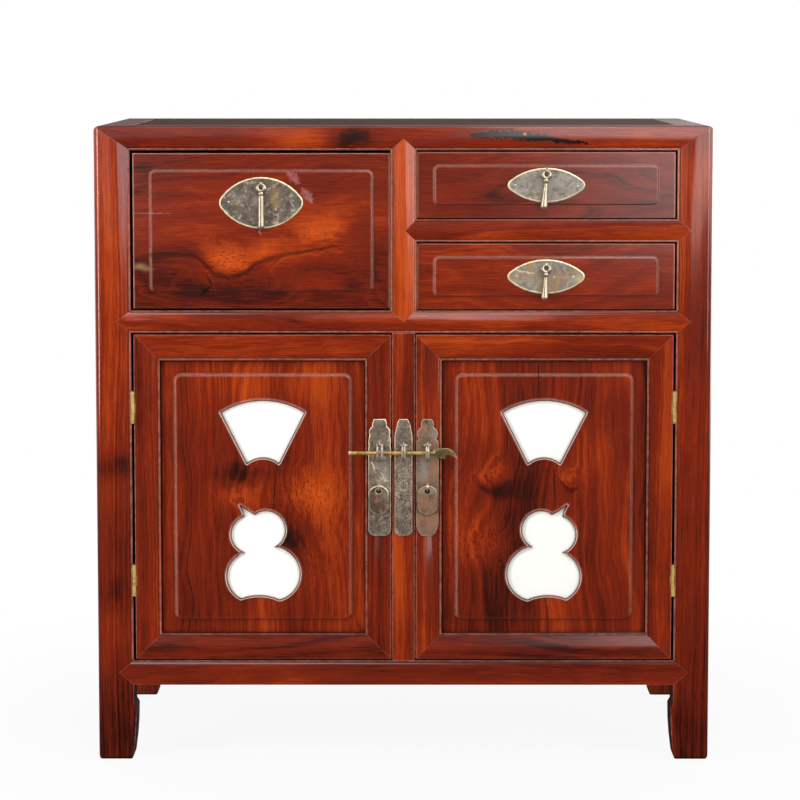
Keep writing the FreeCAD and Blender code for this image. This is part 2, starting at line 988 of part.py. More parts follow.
def lock_plate(half, start, steps, x):
    """Plate from the points of its right half, which are mirrored for its left half."""
    first = scaled(start, half, -lock_plate_height)
    right = scaled_steps(steps, half, -lock_plate_height)
    ends = [first] + [step[-1] for step in right]
    left = [((-ends[-1][0], ends[-1][1]),)]
    for i in range(len(right) - 1, -1, -1):
        way = [(-p[0], p[1]) for p in right[i][:-1]]
        left.append(tuple(way + [(-ends[i][0], ends[i][1])]))
    plate = slab(chorded(outline(first, right + left)), plate_front_y, front_y)
    return moved(plate, x, 0, lock_plate_top)


def clenched_shank(x, y0, back, z, half_x, half_z):
    """Flat shank through the wood, bent over against its back."""
    shank = block(x - half_x, x + half_x, y0, back + clench_thickness, z - half_z, z + half_z)
    tail = block(x - half_x, x + half_x, back, back + clench_thickness, z - clench_length, z + half_z)
    return joined([shank, tail])


def lock_staple(x, back):
    """Bridge over the bar, with a round crown at its top and a shank through the wood."""
    half = staple_height / 2
    arch = outline((-half, 0), (((0, staple_stand), (half, 0)),))
    bridge = slab(chorded(arch), -staple_width / 2, staple_width / 2)
    bridge.rotate(V(0, 0, 0), V(0, 0, 1), 90)
    bridge.rotate(V(0, 0, 0), V(1, 0, 0), 90)
    bridge.translate(V(x, plate_front_y, bar_level))
    crown = rod_y(
        x,
        plate_front_y - staple_crown_stand,
        plate_front_y,
        bar_level + staple_crown_rise,
        staple_crown_radius,
    )
    hole = rod_x(x - staple_width, x + staple_width, bar_y, bar_level, bar_hole_radius)
    shank = clenched_shank(
        x, plate_front_y - overrun / 2, back, bar_level, staple_shank_width / 2, staple_shank_height / 2
    )
    return joined([bridge.cut(hole), crown.cut(hole), shank.cut(hole)])


def lock_bar():
    """Round bar with a collar at its left end, and a bead and a fish-tail leaf at its right."""
    stop_x = door_plate_x + staple_width / 2 + bar_stop_clearance
    leaf_x = stop_x + bar_stop_length / 2
    profile = (
        (bar_collar_radius, 0),
        (bar_collar_radius, bar_collar_length),
        (bar_radius, bar_collar_length),
        (bar_radius, stop_x - bar_left_end),
        (bar_stop_radius, leaf_x - bar_left_end),
        (bar_radius, leaf_x + bar_stop_length / 2 - bar_left_end),
    )
    rod = turned_x(profile, bar_left_end, bar_y, bar_level)
    wire = outline(
        scaled(bar_leaf_start_shares, bar_leaf_length, bar_leaf_height),
        scaled_steps(bar_leaf_step_shares, bar_leaf_length, bar_leaf_height),
    )
    leaf = slab(chorded(wire), bar_y - bar_leaf_thickness / 2, bar_y + bar_leaf_thickness / 2)
    leaf.translate(V(leaf_x, 0, bar_level))
    return joined([rod, leaf])


def pull_tag(x):
    """Flat tag with round ends and a hole near its top."""
    half = tag_width / 2
    base = tag_top_level - tag_height
    wire = outline(
        (-half, tag_top_level - tag_end_rise),
        (
            ((0, tag_top_level), (half, tag_top_level - tag_end_rise)),
            ((half, base + tag_end_rise),),
            ((0, base), (-half, base + tag_end_rise)),
        ),
    )
    y0 = tag_y - tag_thickness / 2
    tag = bevelled_slab(chorded(wire), y0, y0 + tag_thickness, tag_bevel)
    hole = rod_y(
        0,
        y0 - overrun,
        y0 + tag_thickness + overrun,
        tag_top_level - tag_rim_height - tag_hole_radius,
        tag_hole_radius,
    )
    return moved(tag.cut(hole), x, 0, 0)


def wire_loop(x, y, z, hole, wire, wide, back):
    """Loop with its axis along X, on a clenched shank through the wood."""
    ring = rod_x(x - wide / 2, x + wide / 2, y, z, hole + wire)
    bore = rod_x(x - wide, x + wide, y, z, hole)
    shank = clenched_shank(x, y + hole, back, z, shank_radius, shank_radius)
    return joined([ring, shank]).cut(bore)


# Doors

def door_wood():
    """Right door: stiles, rails and panel, with the two plaques in its openings."""
    w = door_frame_width
    x0, x1, z0, z1 = door_inner_x, door_outer_x, door_base, door_top
    y0, y1 = front_y, front_y + door_thickness
    stiles = [
        slab(polygon(((x0, z0), (x0, z1), (x0 + w, z1 - w), (x0 + w, z0 + w))), y0, y1),
        slab(polygon(((x1, z0), (x1, z1), (x1 - w, z1 - w), (x1 - w, z0 + w))), y0, y1),
    ]
    rails = [
        slab(polygon(((x0, z1), (x1, z1), (x1 - w, z1 - w), (x0 + w, z1 - w))), y0, y1),
        slab(polygon(((x0, z0), (x1, z0), (x1 - w, z0 + w), (x0 + w, z0 + w))), y0, y1),
    ]
    t0 = front_y + door_tenon_setback
    t1 = t0 + door_tenon_thickness
    for i, middle in enumerate((z1 - w / 2, z0 + w / 2)):
        low = middle - door_tenon_width / 2
        high = middle + door_tenon_width / 2
        tenons = [
            block(x0 + door_tenon_stop, x0 + w, t0, t1, low, high),
            block(x1 - w, x1 - door_tenon_stop, t0, t1, low, high),
        ]
        rails[i] = joined([rails[i]] + tenons)
    stiles = [without(stile, rails) for stile in stiles]
    panel, plaques, tongue = door_panel(x0 + w, x1 - w, z0 + w, z1 - w)
    ring = moved(groove_ring(x0 + w, x1 - w, z0 + w, z1 - w), 0, front_y, 0)
    recesses = [knuckle_recess(level) for level in hinge_levels()]
    stiles = [without(stile, [tongue, ring] + recesses) for stile in stiles]
    rails = [without(member, [tongue, ring]) for member in rails]
    return stiles, rails, panel, plaques


def door_panel(x0, x1, z0, z1):
    """Floating panel with a raised field, two lipped openings and the plaques behind them."""
    y0 = front_y + door_panel_recess
    t = tongue_length
    tongue = block(x0 - t, x1 + t, y0, door_panel_back_y, z0 - t, z1 + t)
    m = door_panel_margin
    field_wire = rounded_rectangle(x0 + m, x1 - m, z0 + m, z1 - m, field_corner_radius)
    field = bevelled_slab(field_wire, door_field_y, y0, field_bevel)
    openings = [fan_wire(), gourd_wire()]
    lips = [slab(grown(wire, lip_width), door_field_y - lip_rise, y0) for wire in openings]
    panel = joined([tongue, field] + lips)
    plaque_y = door_field_y + plaque_recess
    holes = [slab(chorded(wire), front_y, plaque_y + overrun) for wire in openings]
    seats = [seat_behind(w, plaque_overlap, plaque_y, door_panel_back_y + overrun) for w in openings]
    reach = plaque_overlap - plaque_clearance
    plaques = [seat_behind(w, reach, plaque_y, door_panel_back_y) for w in openings]
    return panel.cut(holes + seats), plaques, tongue


def seat_behind(wire, reach, y0, y1):
    """Block behind an opening that reaches past its outline on every side."""
    bound = wire.BoundBox
    return block(bound.XMin - reach, bound.XMax + reach, y0, y1, bound.ZMin - reach, bound.ZMax + reach)


def fan_wire():
    """Outline of the fan opening of the right door."""
    x = door_middle_x
    top = fan_corner_top
    base = fan_corner_base
    steps = (
        ((x, fan_top), (x + fan_top_half, top)),
        ((x + fan_bottom_half, base),),
        ((x, base + fan_bottom_crown), (x - fan_bottom_half, base)),
        ((x - fan_top_half, top),),
    )
    return outline((x - fan_top_half, top), steps)


def gourd_wire():
    """Outline of the gourd opening of the right door."""
    height = gourd_top - gourd_base
    steps = scaled_steps(gourd_step_shares, gourd_half_width, height)
    wire = outline(scaled(gourd_start_shares, gourd_half_width, height), steps)
    wire.translate(V(door_middle_x, 0, gourd_base))
    return wire


def door_parts(side):
    """All pieces of one door: side is 1 for the right door and -1 for the left one."""
    stiles, rails, panel, plaques = door_wood()
    leaves = [hinge_leaf(level, True) for level in hinge_levels()]
    if side < 0:
        stiles, rails, plaques, leaves = [
            [mirrored_x(s) for s in group] for group in (stiles, rails, plaques, leaves)
        ]
        panel = mirrored_x(panel)
        start, steps = left_plate_start_shares, left_plate_step_shares
    else:
        start, steps = right_plate_start_shares, right_plate_step_shares
    back = front_y + door_thickness
    x = side * door_plate_x
    tag_x = x + (left_tag_shift if side < 0 else 0)
    staple = lock_staple(x, back)
    loop = wire_loop(tag_x, tag_y, tag_pivot_z, tag_loop_hole, tag_loop_wire, tag_loop_width, back)
    plate = lock_plate(door_plate_width / 2, start, steps, x)
    return {
        "stiles": [without(stile, leaves + [staple, loop]) for stile in stiles],
        "rails": rails,
        "panel": [panel],
        "plaques": plaques,
        "hinge_leaves": leaves,
        "lock_plate": [plate.cut([staple, loop])],
        "staples": [staple, loop],
        "pull_tag": [pull_tag(tag_x)],
    }


# Drawers

def tail_spans(count, z0, z1):
    """Middles and half heights at the root of a row of dovetails."""
    pitch = (z1 - z0) / count
    half = pitch * tail_height_share / 2
    return [(z0 + pitch * (i + 0.5), half) for i in range(count)]


def dovetails(x0, x1, count, z0, z1):
    """Tails at the front end of a drawer side, wider at their tips."""
    root = front_y + drawer_front_thickness
    tip = root - drawer_lap
    tails = []
    for middle, half in tail_spans(count, z0, z1):
        wide = half + drawer_lap * tail_flare_share
        corners = [
            V(x0, root, middle - half),
            V(x0, tip, middle - wide),
            V(x0, tip, middle + wide),
            V(x0, root, middle + half),
            V(x0, root, middle - half),
        ]
        tails.append(Part.Face(Part.makePolygon(corners)).extrude(V(x1 - x0, 0, 0)))
    return tails


def drawer_wood(x0, x1, z0, z1, margin_side, margin_top, floor, tails):
    """Drawer front with a raised field, and its box of two sides, a back and a bottom."""
    face_y = front_y + drawer_field_rise
    root = front_y + drawer_front_thickness
    board = block(x0, x1, face_y, root, z0, z1)
    field_wire = rounded_rectangle(
        x0 + margin_side, x1 - margin_side, z0 + margin_top, z1 - margin_top, drawer_field_radius
    )
    front = joined([board, bevelled_slab(field_wire, front_y, face_y, field_bevel)])
    end = back_panel_y - drawer_back_gap
    base = floor + runner_clearance
    top = z1 - drawer_side_drop
    t = drawer_side_thickness
    sides = []
    for sx0, sx1 in ((x0, x0 + t), (x1 - t, x1)):
        run = block(sx0, sx1, root, end, base, top)
        sides.append(joined([run] + dovetails(sx0, sx1, tails, z0, top)))
    bottom_z = base + drawer_bottom_lift
    inside = t - drawer_groove_depth
    bottom = block(
        x0 + inside,
        x1 - inside,
        root - drawer_groove_depth,
        end,
        bottom_z,
        bottom_z + drawer_bottom_thickness,
    )
    back = block(x0 + t, x1 - t, end - t, end, bottom_z + drawer_bottom_thickness, top)
    front = front.cut(sides + [bottom])
    sides = [side.cut(bottom) for side in sides]
    return front, sides + [back, bottom]


def oval(half_length, half_high, end_radius):
    """Oval of four arcs with small round ends, about the origin of the XZ plane."""
    reach = half_length - end_radius
    long_radius = (reach**2 + half_high**2 - end_radius**2) / (2 * (half_high - end_radius))
    away = math.hypot(reach, long_radius - half_high)
    x = reach + end_radius * reach / away
    z = end_radius * (long_radius - half_high) / away
    steps = (
        ((half_length, 0), (x, -z)),
        ((0, -half_high), (-x, -z)),
        ((-half_length, 0), (-x, z)),
        ((0, half_high), (x, z)),
    )
    return chorded(outline((x, z), steps))


def pull_drop(x, z, length, radius, tilt):
    """Flat eye and turned drop that hang from a pivot, leaning by a few degrees."""
    eye = rod_y(0, -eye_thickness / 2, eye_thickness / 2, -eye_drop, eye_radius)
    hole = rod_y(0, -eye_thickness, eye_thickness, -eye_drop, eye_hole_radius)
    neck = -(eye_drop + eye_radius)
    bead = radius * drop_bead_share
    slim = radius * drop_neck_share
    profile = (
        (slim, neck + eye_thickness / 2),
        (bead, neck - drop_bead_height / 2),
        (slim, neck - drop_bead_height),
        (radius, drop_toe_height * 2 - length),
        (radius, drop_toe_height - length),
        (radius * drop_toe_share, -length),
    )
    drop = joined([eye.cut(hole), turned(profile)])
    drop.rotate(V(0, 0, 0), V(0, 1, 0), tilt)
    return moved(drop, x, pull_pivot_y, z)


def drawer_parts(name):
    """All pieces of one drawer."""
    inner = half_divider + drawer_divider_gap
    pull = (small_pull_width, small_pull_height, small_pull_tip_radius)
    if name == "left":
        x0, x1 = -opening_edge_x + left_drawer_post_gap, -inner
        z0, z1 = mid_rail_top + left_drawer_gap_bottom, top_rail_base - left_drawer_gap_top
        margins = (left_drawer_margin, left_drawer_margin)
        floor, tails = mid_rail_top, left_drawer_tails
        pull = (left_pull_width, left_pull_height, left_pull_tip_radius)
        offset, rise, length = left_pull_offset, left_pull_rise, left_drop_length
        radius, tilt = left_drop_radius, 0
    else:
        x0, x1 = inner, opening_edge_x - small_drawer_post_gap
        margins = (small_drawer_margin_side, small_drawer_margin_top)
        tails = small_drawer_tails
        offset, radius, tilt = 0, small_drop_radius, small_drop_tilt
        if name == "upper":
            floor, ceiling = drawer_rail_top, top_rail_base
            rise, length = upper_pull_rise, upper_drop_length
        else:
            floor, ceiling = mid_rail_top, drawer_rail_base
            rise, length = lower_pull_rise, lower_drop_length
        z0, z1 = floor + small_drawer_gap_bottom, ceiling - small_drawer_gap_top
    front, box = drawer_wood(x0, x1, z0, z1, margins[0], margins[1], floor, tails)
    x = (x0 + x1) / 2
    level = (z0 + z1) / 2 + offset
    pivot = level + rise
    loop = wire_loop(
        x,
        pull_pivot_y,
        pivot,
        pull_loop_hole,
        pull_loop_wire,
        pull_loop_width,
        front_y + drawer_front_thickness,
    )
    plate = bevelled_slab(
        oval(pull[0] / 2, pull[1] / 2, pull[2]), front_y - pull_plate_thickness, front_y, pull_plate_bevel
    )
    return {
        "front": [front.cut(loop)],
        "box": box,
        "pull_plate": [moved(plate, x, 0, level).cut(loop)],
        "pull_loop": [loop],
        "pull_drop": [pull_drop(x, pivot, length, radius, tilt)],
    }


# Assembly

def carcass():
    """Every fixed piece, as lists of solids by node name."""
    posts, tenon = frame_posts()
    rails = front_rails()
    mid_sides = side_rails(mid_rail_height, mid_rail_base)
    bottom_sides = side_rails(bottom_rail_height, bottom_rail_base)
    backs = back_rails()
    front_top, back_top, left_top, right_top = top_frame()
    panels = side_panels()
    rears = back_panels()
    top = top_board()
    braces = top_braces()
    across = list(rails.values()) + mid_sides + bottom_sides + backs
    posts = [without(post, across + panels + rears + [top]) for post in posts]
    floors = [floor_board(bottom_rail_top, posts), floor_board(mid_rail_top, posts)]

    tenons = [tenon, mirrored_x(tenon), mirrored_y(tenon), mirrored_y(mirrored_x(tenon))]
    let_in = panels + rears + [top] + braces + tenons + [rails["drawer_divider_front"]]
    tops = [without(member, let_in) for member in (front_top, back_top, left_top, right_top)]
    let_in = panels + rears + floors
    for name in ("mid_rail_front", "bottom_rail_front"):
        rails[name] = without(rails[name], let_in)
    mid_sides, bottom_sides, backs = [
        [without(member, let_in) for member in group] for group in (mid_sides, bottom_sides, backs)
    ]

    grooves, side_grooves = frame_grooves()
    envelope = soft_envelope()
    every = grooves + side_grooves
    posts = [without(post, every).common(envelope) for post in posts]
    tops = [without(member, every).common(envelope) for member in tops]
    for name in ("mid_rail_front", "bottom_rail_front", "drawer_rail_front", "drawer_divider_front"):
        rails[name] = without(rails[name], grooves)
    mid_sides, bottom_sides = [
        [without(member, side_grooves) for member in group] for group in (mid_sides, bottom_sides)
    ]

    leaves = [hinge_leaf(level, False) for level in hinge_levels()]
    leaves += [mirrored_x(leaf) for leaf in leaves]
    pins = [hinge_pin(level) for level in hinge_levels()]
    pins += [mirrored_x(pin) for pin in pins]
    recesses = [knuckle_recess(level) for level in hinge_levels()]
    recesses += [mirrored_x(recess) for recess in recesses]
    posts = [without(post, leaves + recesses) for post in posts]

    staple = lock_staple(0, front_y + center_stile_depth)
    plate = lock_plate(center_plate_width / 2, center_plate_start_shares, center_plate_step_shares, 0)
    return {
        "post_front_left": [posts[0]],
        "post_front_right": [posts[1]],
        "post_back_left": [posts[2]],
        "post_back_right": [posts[3]],
        "top_rail_front": [tops[0]],
        "top_rail_back": [tops[1]],
        "top_rails_side": tops[2:],
        "top_panel": [top],
        "top_braces": braces,
        "mid_rail_front": [rails["mid_rail_front"]],
        "bottom_rail_front": [rails["bottom_rail_front"]],
        "drawer_rail_front": [rails["drawer_rail_front"]],
        "drawer_divider_front": [rails["drawer_divider_front"]],
        "center_stile": [rails["center_stile"].cut(staple)],
        "mid_rails_side": mid_sides,
        "bottom_rails_side": bottom_sides,
        "back_rails": backs,
        "side_panels": panels,
        "back_panels": rears,
        "bottom_board": [floors[0]],
        "drawer_floor": [floors[1]],
        "drawer_partition": [inner_partition()],
        "drawer_runners": drawer_runners(posts),
        "hinge_post_leaves": leaves,
        "hinge_pins": pins,
        "center_lock_plate": [plate.cut(staple)],
        "center_staple": [staple],
    }


def cabinet():
    """Every node's solids."""
    nodes = carcass()
    nodes["lock_bar"] = [lock_bar()]
    for name, side in (("door_left", -1), ("door_right", 1)):
        for piece, solids in door_parts(side).items():
            nodes[name + "_" + piece] = solids
    for name in ("left", "upper", "lower"):
        for piece, solids in drawer_parts(name).items():
            nodes["drawer_" + name + "_" + piece] = solids
    return nodes


def main():
    """Write one file for each node."""
    os.makedirs("parts", exist_ok=True)
    for name, shapes in cabinet().items():
        solids = [solid for shape in shapes for solid in shape.Solids]
        for solid in solids:
            if not solid.isValid() or solid.Volume <= 0:
                raise ValueError(name + " has a faulty solid")
        if len(solids) != len(shapes):
            raise ValueError(name + " came out in the wrong number of pieces")
        whole = solids[0] if len(solids) == 1 else Part.makeCompound(solids)
        whole.exportStep("parts/" + name + ".step")


if __name__ == "__main__":
    main()
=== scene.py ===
"""Looks of a kang cabinet, laid over its fixed construction: rosewood, bronze, brass and pale stone."""

import json
import math
from functools import reduce

import bmesh
import bpy
from bpy.props import FloatProperty, FloatVectorProperty, PointerProperty
from mathutils import Matrix, Vector


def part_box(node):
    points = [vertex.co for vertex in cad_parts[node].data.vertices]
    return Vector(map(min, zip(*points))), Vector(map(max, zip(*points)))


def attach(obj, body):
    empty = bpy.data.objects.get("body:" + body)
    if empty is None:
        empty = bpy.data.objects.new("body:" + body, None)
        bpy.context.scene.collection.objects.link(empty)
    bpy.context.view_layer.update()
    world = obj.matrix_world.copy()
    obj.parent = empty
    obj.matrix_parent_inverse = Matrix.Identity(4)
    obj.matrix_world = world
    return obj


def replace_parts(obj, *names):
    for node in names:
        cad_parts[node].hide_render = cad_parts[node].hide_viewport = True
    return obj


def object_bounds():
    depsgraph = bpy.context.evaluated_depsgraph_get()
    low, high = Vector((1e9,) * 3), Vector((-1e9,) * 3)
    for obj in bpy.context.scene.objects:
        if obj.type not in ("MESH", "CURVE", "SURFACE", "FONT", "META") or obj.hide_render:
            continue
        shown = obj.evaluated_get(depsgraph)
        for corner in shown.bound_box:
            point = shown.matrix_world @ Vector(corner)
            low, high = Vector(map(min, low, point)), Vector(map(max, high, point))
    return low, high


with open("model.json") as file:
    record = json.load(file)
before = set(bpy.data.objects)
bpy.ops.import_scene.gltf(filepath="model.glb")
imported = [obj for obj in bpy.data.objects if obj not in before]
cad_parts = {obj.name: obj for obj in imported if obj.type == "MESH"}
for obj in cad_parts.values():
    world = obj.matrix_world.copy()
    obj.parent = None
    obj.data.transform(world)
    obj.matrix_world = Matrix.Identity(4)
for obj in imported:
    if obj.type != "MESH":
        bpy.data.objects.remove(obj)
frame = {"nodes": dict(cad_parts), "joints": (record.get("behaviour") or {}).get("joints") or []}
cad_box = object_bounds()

bl_info = {
    "name": "Kang Cabinet Looks",
    "version": (1, 0, 0),
    "blender": (4, 5, 0),
    "location": "3D View > Sidebar > Kang Cabinet",
    "description": "Finishes and small hardware for a kang cabinet of rosewood",
    "category": "Object",
}

# Joint pivots in the row frame, by joint name
pivots = {joint["name"]: Vector(joint["pos_m"]) for joint in frame["joints"] if "pos_m" in joint}
front_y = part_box("center_stile")[0].y
floor_z = cad_box[0].z
# Between the front of the lips round the doors' openings and the raised field behind it
lip_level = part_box("door_left_panel")[0].y + 0.0004
door_frame_width = 0.0295
quarter_turn = math.pi / 2
weld = 0.00001
white = (1.0, 1.0, 1.0)
# Leaves out how far forward a point is
in_front = (1.0, 0.0, 1.0)


# Settings that a user would change


def linear(part):
    """One channel of a chart colour, 0 to 255, as a linear value."""
    value = part / 255
    return value / 12.92 if value <= 0.04045 else ((value + 0.055) / 1.055) ** 2.4


def colour(name, description, *chart):
    """Colour setting whose default is given as on a colour chart."""
    default = [linear(part) for part in chart]
    return FloatVectorProperty(
        name=name, description=description, subtype="COLOR", size=3, min=0, max=1, default=default
    )


def length(name, description, metres):
    """Length setting in metres."""
    return FloatProperty(name=name, description=description, default=metres, min=0, unit="LENGTH")


def amount(name, description, value, high=1.0):
    """Plain number setting from nought up."""
    return FloatProperty(name=name, description=description, default=value, min=0, max=high, subtype="FACTOR")


class WoodSettings(bpy.types.PropertyGroup):
    """Colours and figure of the polished rosewood and of the plain wood inside."""

    # The streak colour also paints shade in corners, grooves and lips and under the cabinet
    streak: colour("Streak", "Nearly black veins of the rosewood", 27, 7, 4)
    shade: colour("Shade", "Dark red ground between the veins", 74, 19, 8)
    body: colour("Body", "Main red brown of the rosewood", 130, 38, 12)
    glow: colour("Glow", "Orange heart where the light runs into the grain", 203, 82, 20)
    top: colour("Worn top", "Dull dark skin of the top board", 48, 32, 28)
    dust: colour("Dust", "Dust in the pores of the top board", 144, 134, 126)
    inner_dark: colour("Inner dark", "Dark grain of the unpolished wood inside", 92, 58, 36)
    inner_pale: colour("Inner pale", "Pale grain of the unpolished wood inside", 158, 112, 74)
    # Painted highlight on rounded edges that face the light, over edges rubbed pale by handling
    rub_and_highlight: colour("Rubbed edge", "Where handling has thinned the polish", 226, 168, 148)
    ember: colour("Ember", "Bright spot in the burnt scar of the top rail", 214, 140, 48)
    scar: colour("Scar", "Charred wood of that scar", 13, 10, 10)
    smear: colour("Smear", "Violet haze of old scuffs", 172, 116, 116)
    # Painted highlight on the outer arris of the lips round the openings
    lip_highlight: colour("Gleam", "Bright arris of the lips round the openings", 250, 222, 212)
    ring_spacing: length("Ring spacing", "Distance between main veins", 0.0042)
    flow: length("Flow", "How far the veins wander across a board", 0.05)
    polish: amount("Polish", "Weight of the clear polish over the rosewood", 0.75)
    polish_roughness: amount("Polish roughness", "How much the polish blurs a reflection", 0.09)


class MetalSettings(bpy.types.PropertyGroup):
    """Colours of the old bronze and brass."""

    bronze: colour("Bronze", "Paler grey brown of worn bronze", 164, 149, 132)
    stippled: colour("Stippled", "Grey brown skin of the left and middle plates", 121, 104, 88)
    coppery: colour("Coppery", "Smooth brown skin of the right plate and tag", 127, 100, 80)
    tag: colour("Tag", "Brown skin of the left tag", 90, 67, 43)
    pin: colour("Pin", "Copper head of the pin over the right tag", 218, 168, 132)
    ochre: colour("Ochre", "Ochre patches of the pull plates", 150, 118, 76)
    dark: colour("Bronze dark", "Tarnish in the hollows", 54, 44, 36)
    # Painted shade behind the tags' holes, and the dark tarnish of the left tag
    hole: colour("Hole", "Darkness behind the tags' holes", 13, 10, 10)
    # Painted shade in the corners along the edges of the plates
    corner_shade: colour("Corner Shade", "Dirt along the edges of the plates", 29, 24, 20)
    charcoal: colour("Charcoal", "Dark skin of the left pull plate", 101, 88, 76)
    pale: colour("Bronze pale", "Rims and scratches worn bright", 236, 220, 178)
    slate: colour("Slate", "Blue grey tarnish of the small pull plates", 147, 139, 130)
    copper: colour("Copper", "Copper brown patches of the right plate", 150, 104, 74)
    brass: colour("Brass", "Yellow brass of the bar and hinges", 196, 158, 84)
    brass_dark: colour("Brass dark", "Greenish brown tarnish of the brass", 104, 86, 44)
    olive: colour("Olive", "Green tarnish of the bar's leaf", 82, 75, 39)
    drop: colour("Drop metal", "Polished metal of the hanging drops", 148, 134, 114)


class HardwareSettings(bpy.types.PropertyGroup):
    """Sizes of the small hardware that is modelled here."""

    nail_radius: length("Nail radius", "Half width of a plate nail's head", 0.0011)
    strand_radius: length("Strand radius", "Half thickness of a staple's strands", 0.0013)
    round_sides: FloatProperty(
        name="Round sides", description="Flats round a turned piece", default=40, min=8
    )


class StageSettings(bpy.types.PropertyGroup):
    """Camera, lamps and floor."""

    camera_distance: length("Camera distance", "From the cabinet's front to the lens", 3.31)
    camera_height: length("Camera height", "Lens above the floor", 0.834)
    aim_x: FloatProperty(
        name="Aim sideways", description="Point that is looked at", default=-0.0041, unit="LENGTH"
    )
    aim_z: length("Aim height", "Point that is looked at", 0.4285)
    focal_length: FloatProperty(name="Focal length", description="In millimetres", default=128.4, min=1)
    shift: FloatProperty(name="Shift", description="Upright shift of the lens", default=-0.1)
    stone: colour("Stone", "Pale stone let into the doors", 250, 249, 244)
    stone_cloud: colour("Stone cloud", "Faint clouds of the stone", 231, 229, 218)
    stone_vein: colour("Stone vein", "Faint veins of the stone", 204, 204, 200)
    # Painted shade where the stone meets the wood
    seam: colour("Seam", "Dark line where the stone meets the wood", 48, 29, 22)
    floor: colour("Floor", "Pale studio floor", 216, 216, 216)
    floor_cloud: colour("Floor cloud", "Faint clouds of the floor", 231, 231, 231)
    room_light: amount("Room light", "Even light from the whole room", 0.36, 4.0)


settings_groups = {
    "cabinet_wood": WoodSettings,
    "cabinet_metal": MetalSettings,
    "cabinet_hardware": HardwareSettings,
    "cabinet_stage": StageSettings,
}


# Nodes


class Graph:
    """Adds nodes to a tree. A plain value sets a socket, and another node's output is linked to it."""

    def __init__(self, tree):
        self.tree = tree

    def feed(self, socket, value):
        """Sets or links one input."""
        if isinstance(value, bpy.types.NodeSocket):
            self.tree.links.new(value, socket)
        elif socket.type == "RGBA" and len(value) == 3:
            socket.default_value = (*value, 1.0)
        else:
            socket.default_value = value

    def add(self, kind, inputs=(), **choices):
        """A node with its choices made and its inputs fed, by name or by number."""
        node = self.tree.nodes.new(kind)
        node.location = (len(self.tree.nodes) * 170.0, 0.0)
        for key, value in choices.items():
            setattr(node, key, value)
        for key, value in dict(inputs).items():
            self.feed(node.inputs[key], value)
        return node

    def effect(self, name, **inputs):
        """The outputs of a shared effect, placed here with its own values."""
        tree = bpy.data.node_groups.get(name) or effect_tree(name)
        return self.add("ShaderNodeGroup", inputs, node_tree=tree).outputs

    def math(self, operation, *values, clamp=False):
        """Output of a Math node."""
        inputs = dict(enumerate(values))
        return self.add("ShaderNodeMath", inputs, operation=operation, use_clamp=clamp).outputs[0]

    def plus(self, *values):
        """The sum of the values."""
        return reduce(lambda first, second: self.math("ADD", first, second), values)

    def minus(self, first, second):
        """The first value less the second."""
        return self.math("SUBTRACT", first, second)

    def times(self, *values):
        """The product of the values."""
        return reduce(lambda first, second: self.math("MULTIPLY", first, second), values)

    def most(self, *values):
        """The greatest of the values."""
        return reduce(lambda first, second: self.math("MAXIMUM", first, second), values)

    def vector(self, operation, *values):
        """Vector output of a Vector Math node."""
        node = self.add("ShaderNodeVectorMath", dict(enumerate(values)), operation=operation)
        return node.outputs["Value" if operation in ("DOT_PRODUCT", "LENGTH") else "Vector"]

    def drawn(self, vector, *factors):
        """The vector with each of its parts times a factor."""
        return self.vector("MULTIPLY", vector, factors)

    def grown(self, vector, factor):
        """The vector times one number."""
        node = self.add("ShaderNodeVectorMath", {0: vector, "Scale": factor}, operation="SCALE")
        return node.outputs["Vector"]

    def noise(self, vector, scale, detail=2.0, roughness=0.5, distortion=0.0, result="Fac"):
        """Three-dimensional noise."""
        names = ("Vector", "Scale", "Detail", "Roughness", "Distortion")
        inputs = dict(zip(names, (vector, scale, detail, roughness, distortion)))
        return self.add("ShaderNodeTexNoise", inputs).outputs[result]

    def noise_along(self, value, detail=3.0, roughness=0.6):
        """Noise along one number."""
        inputs = {"W": value, "Scale": 1.0, "Detail": detail, "Roughness": roughness}
        return self.add("ShaderNodeTexNoise", inputs, noise_dimensions="1D").outputs["Fac"]

    def shaken(self, place, scale, detail, roughness, reach, source=None):
        """The place moved about by noise, up to half the reach each way."""
        noise = self.noise(source or place, scale, detail, roughness, result="Color")
        unrest = self.vector("SUBTRACT", noise, (0.5, 0.5, 0.5))
        return self.vector("ADD", place, self.grown(unrest, reach))

    def span(self, value, low, high, to_low=0.0, to_high=1.0, smooth=True):
        """The value taken from one span to another, held at its ends."""
        inputs = dict(enumerate((value, low, high, to_low, to_high)))
        kind = "SMOOTHSTEP" if smooth else "LINEAR"
        return self.add("ShaderNodeMapRange", inputs, interpolation_type=kind).outputs[0]

    def mix(self, factor, first, second):
        """Two colours mixed."""
        inputs = {"Factor": factor, 6: first, 7: second}
        return self.add("ShaderNodeMix", inputs, data_type="RGBA").outputs[2]

    def split(self, vector):
        """The three parts of a vector."""
        return self.add("ShaderNodeSeparateXYZ", {0: vector}).outputs

    def combine(self, *parts):
        """A vector from three parts."""
        return self.add("ShaderNodeCombineXYZ", dict(enumerate(parts))).outputs[0]


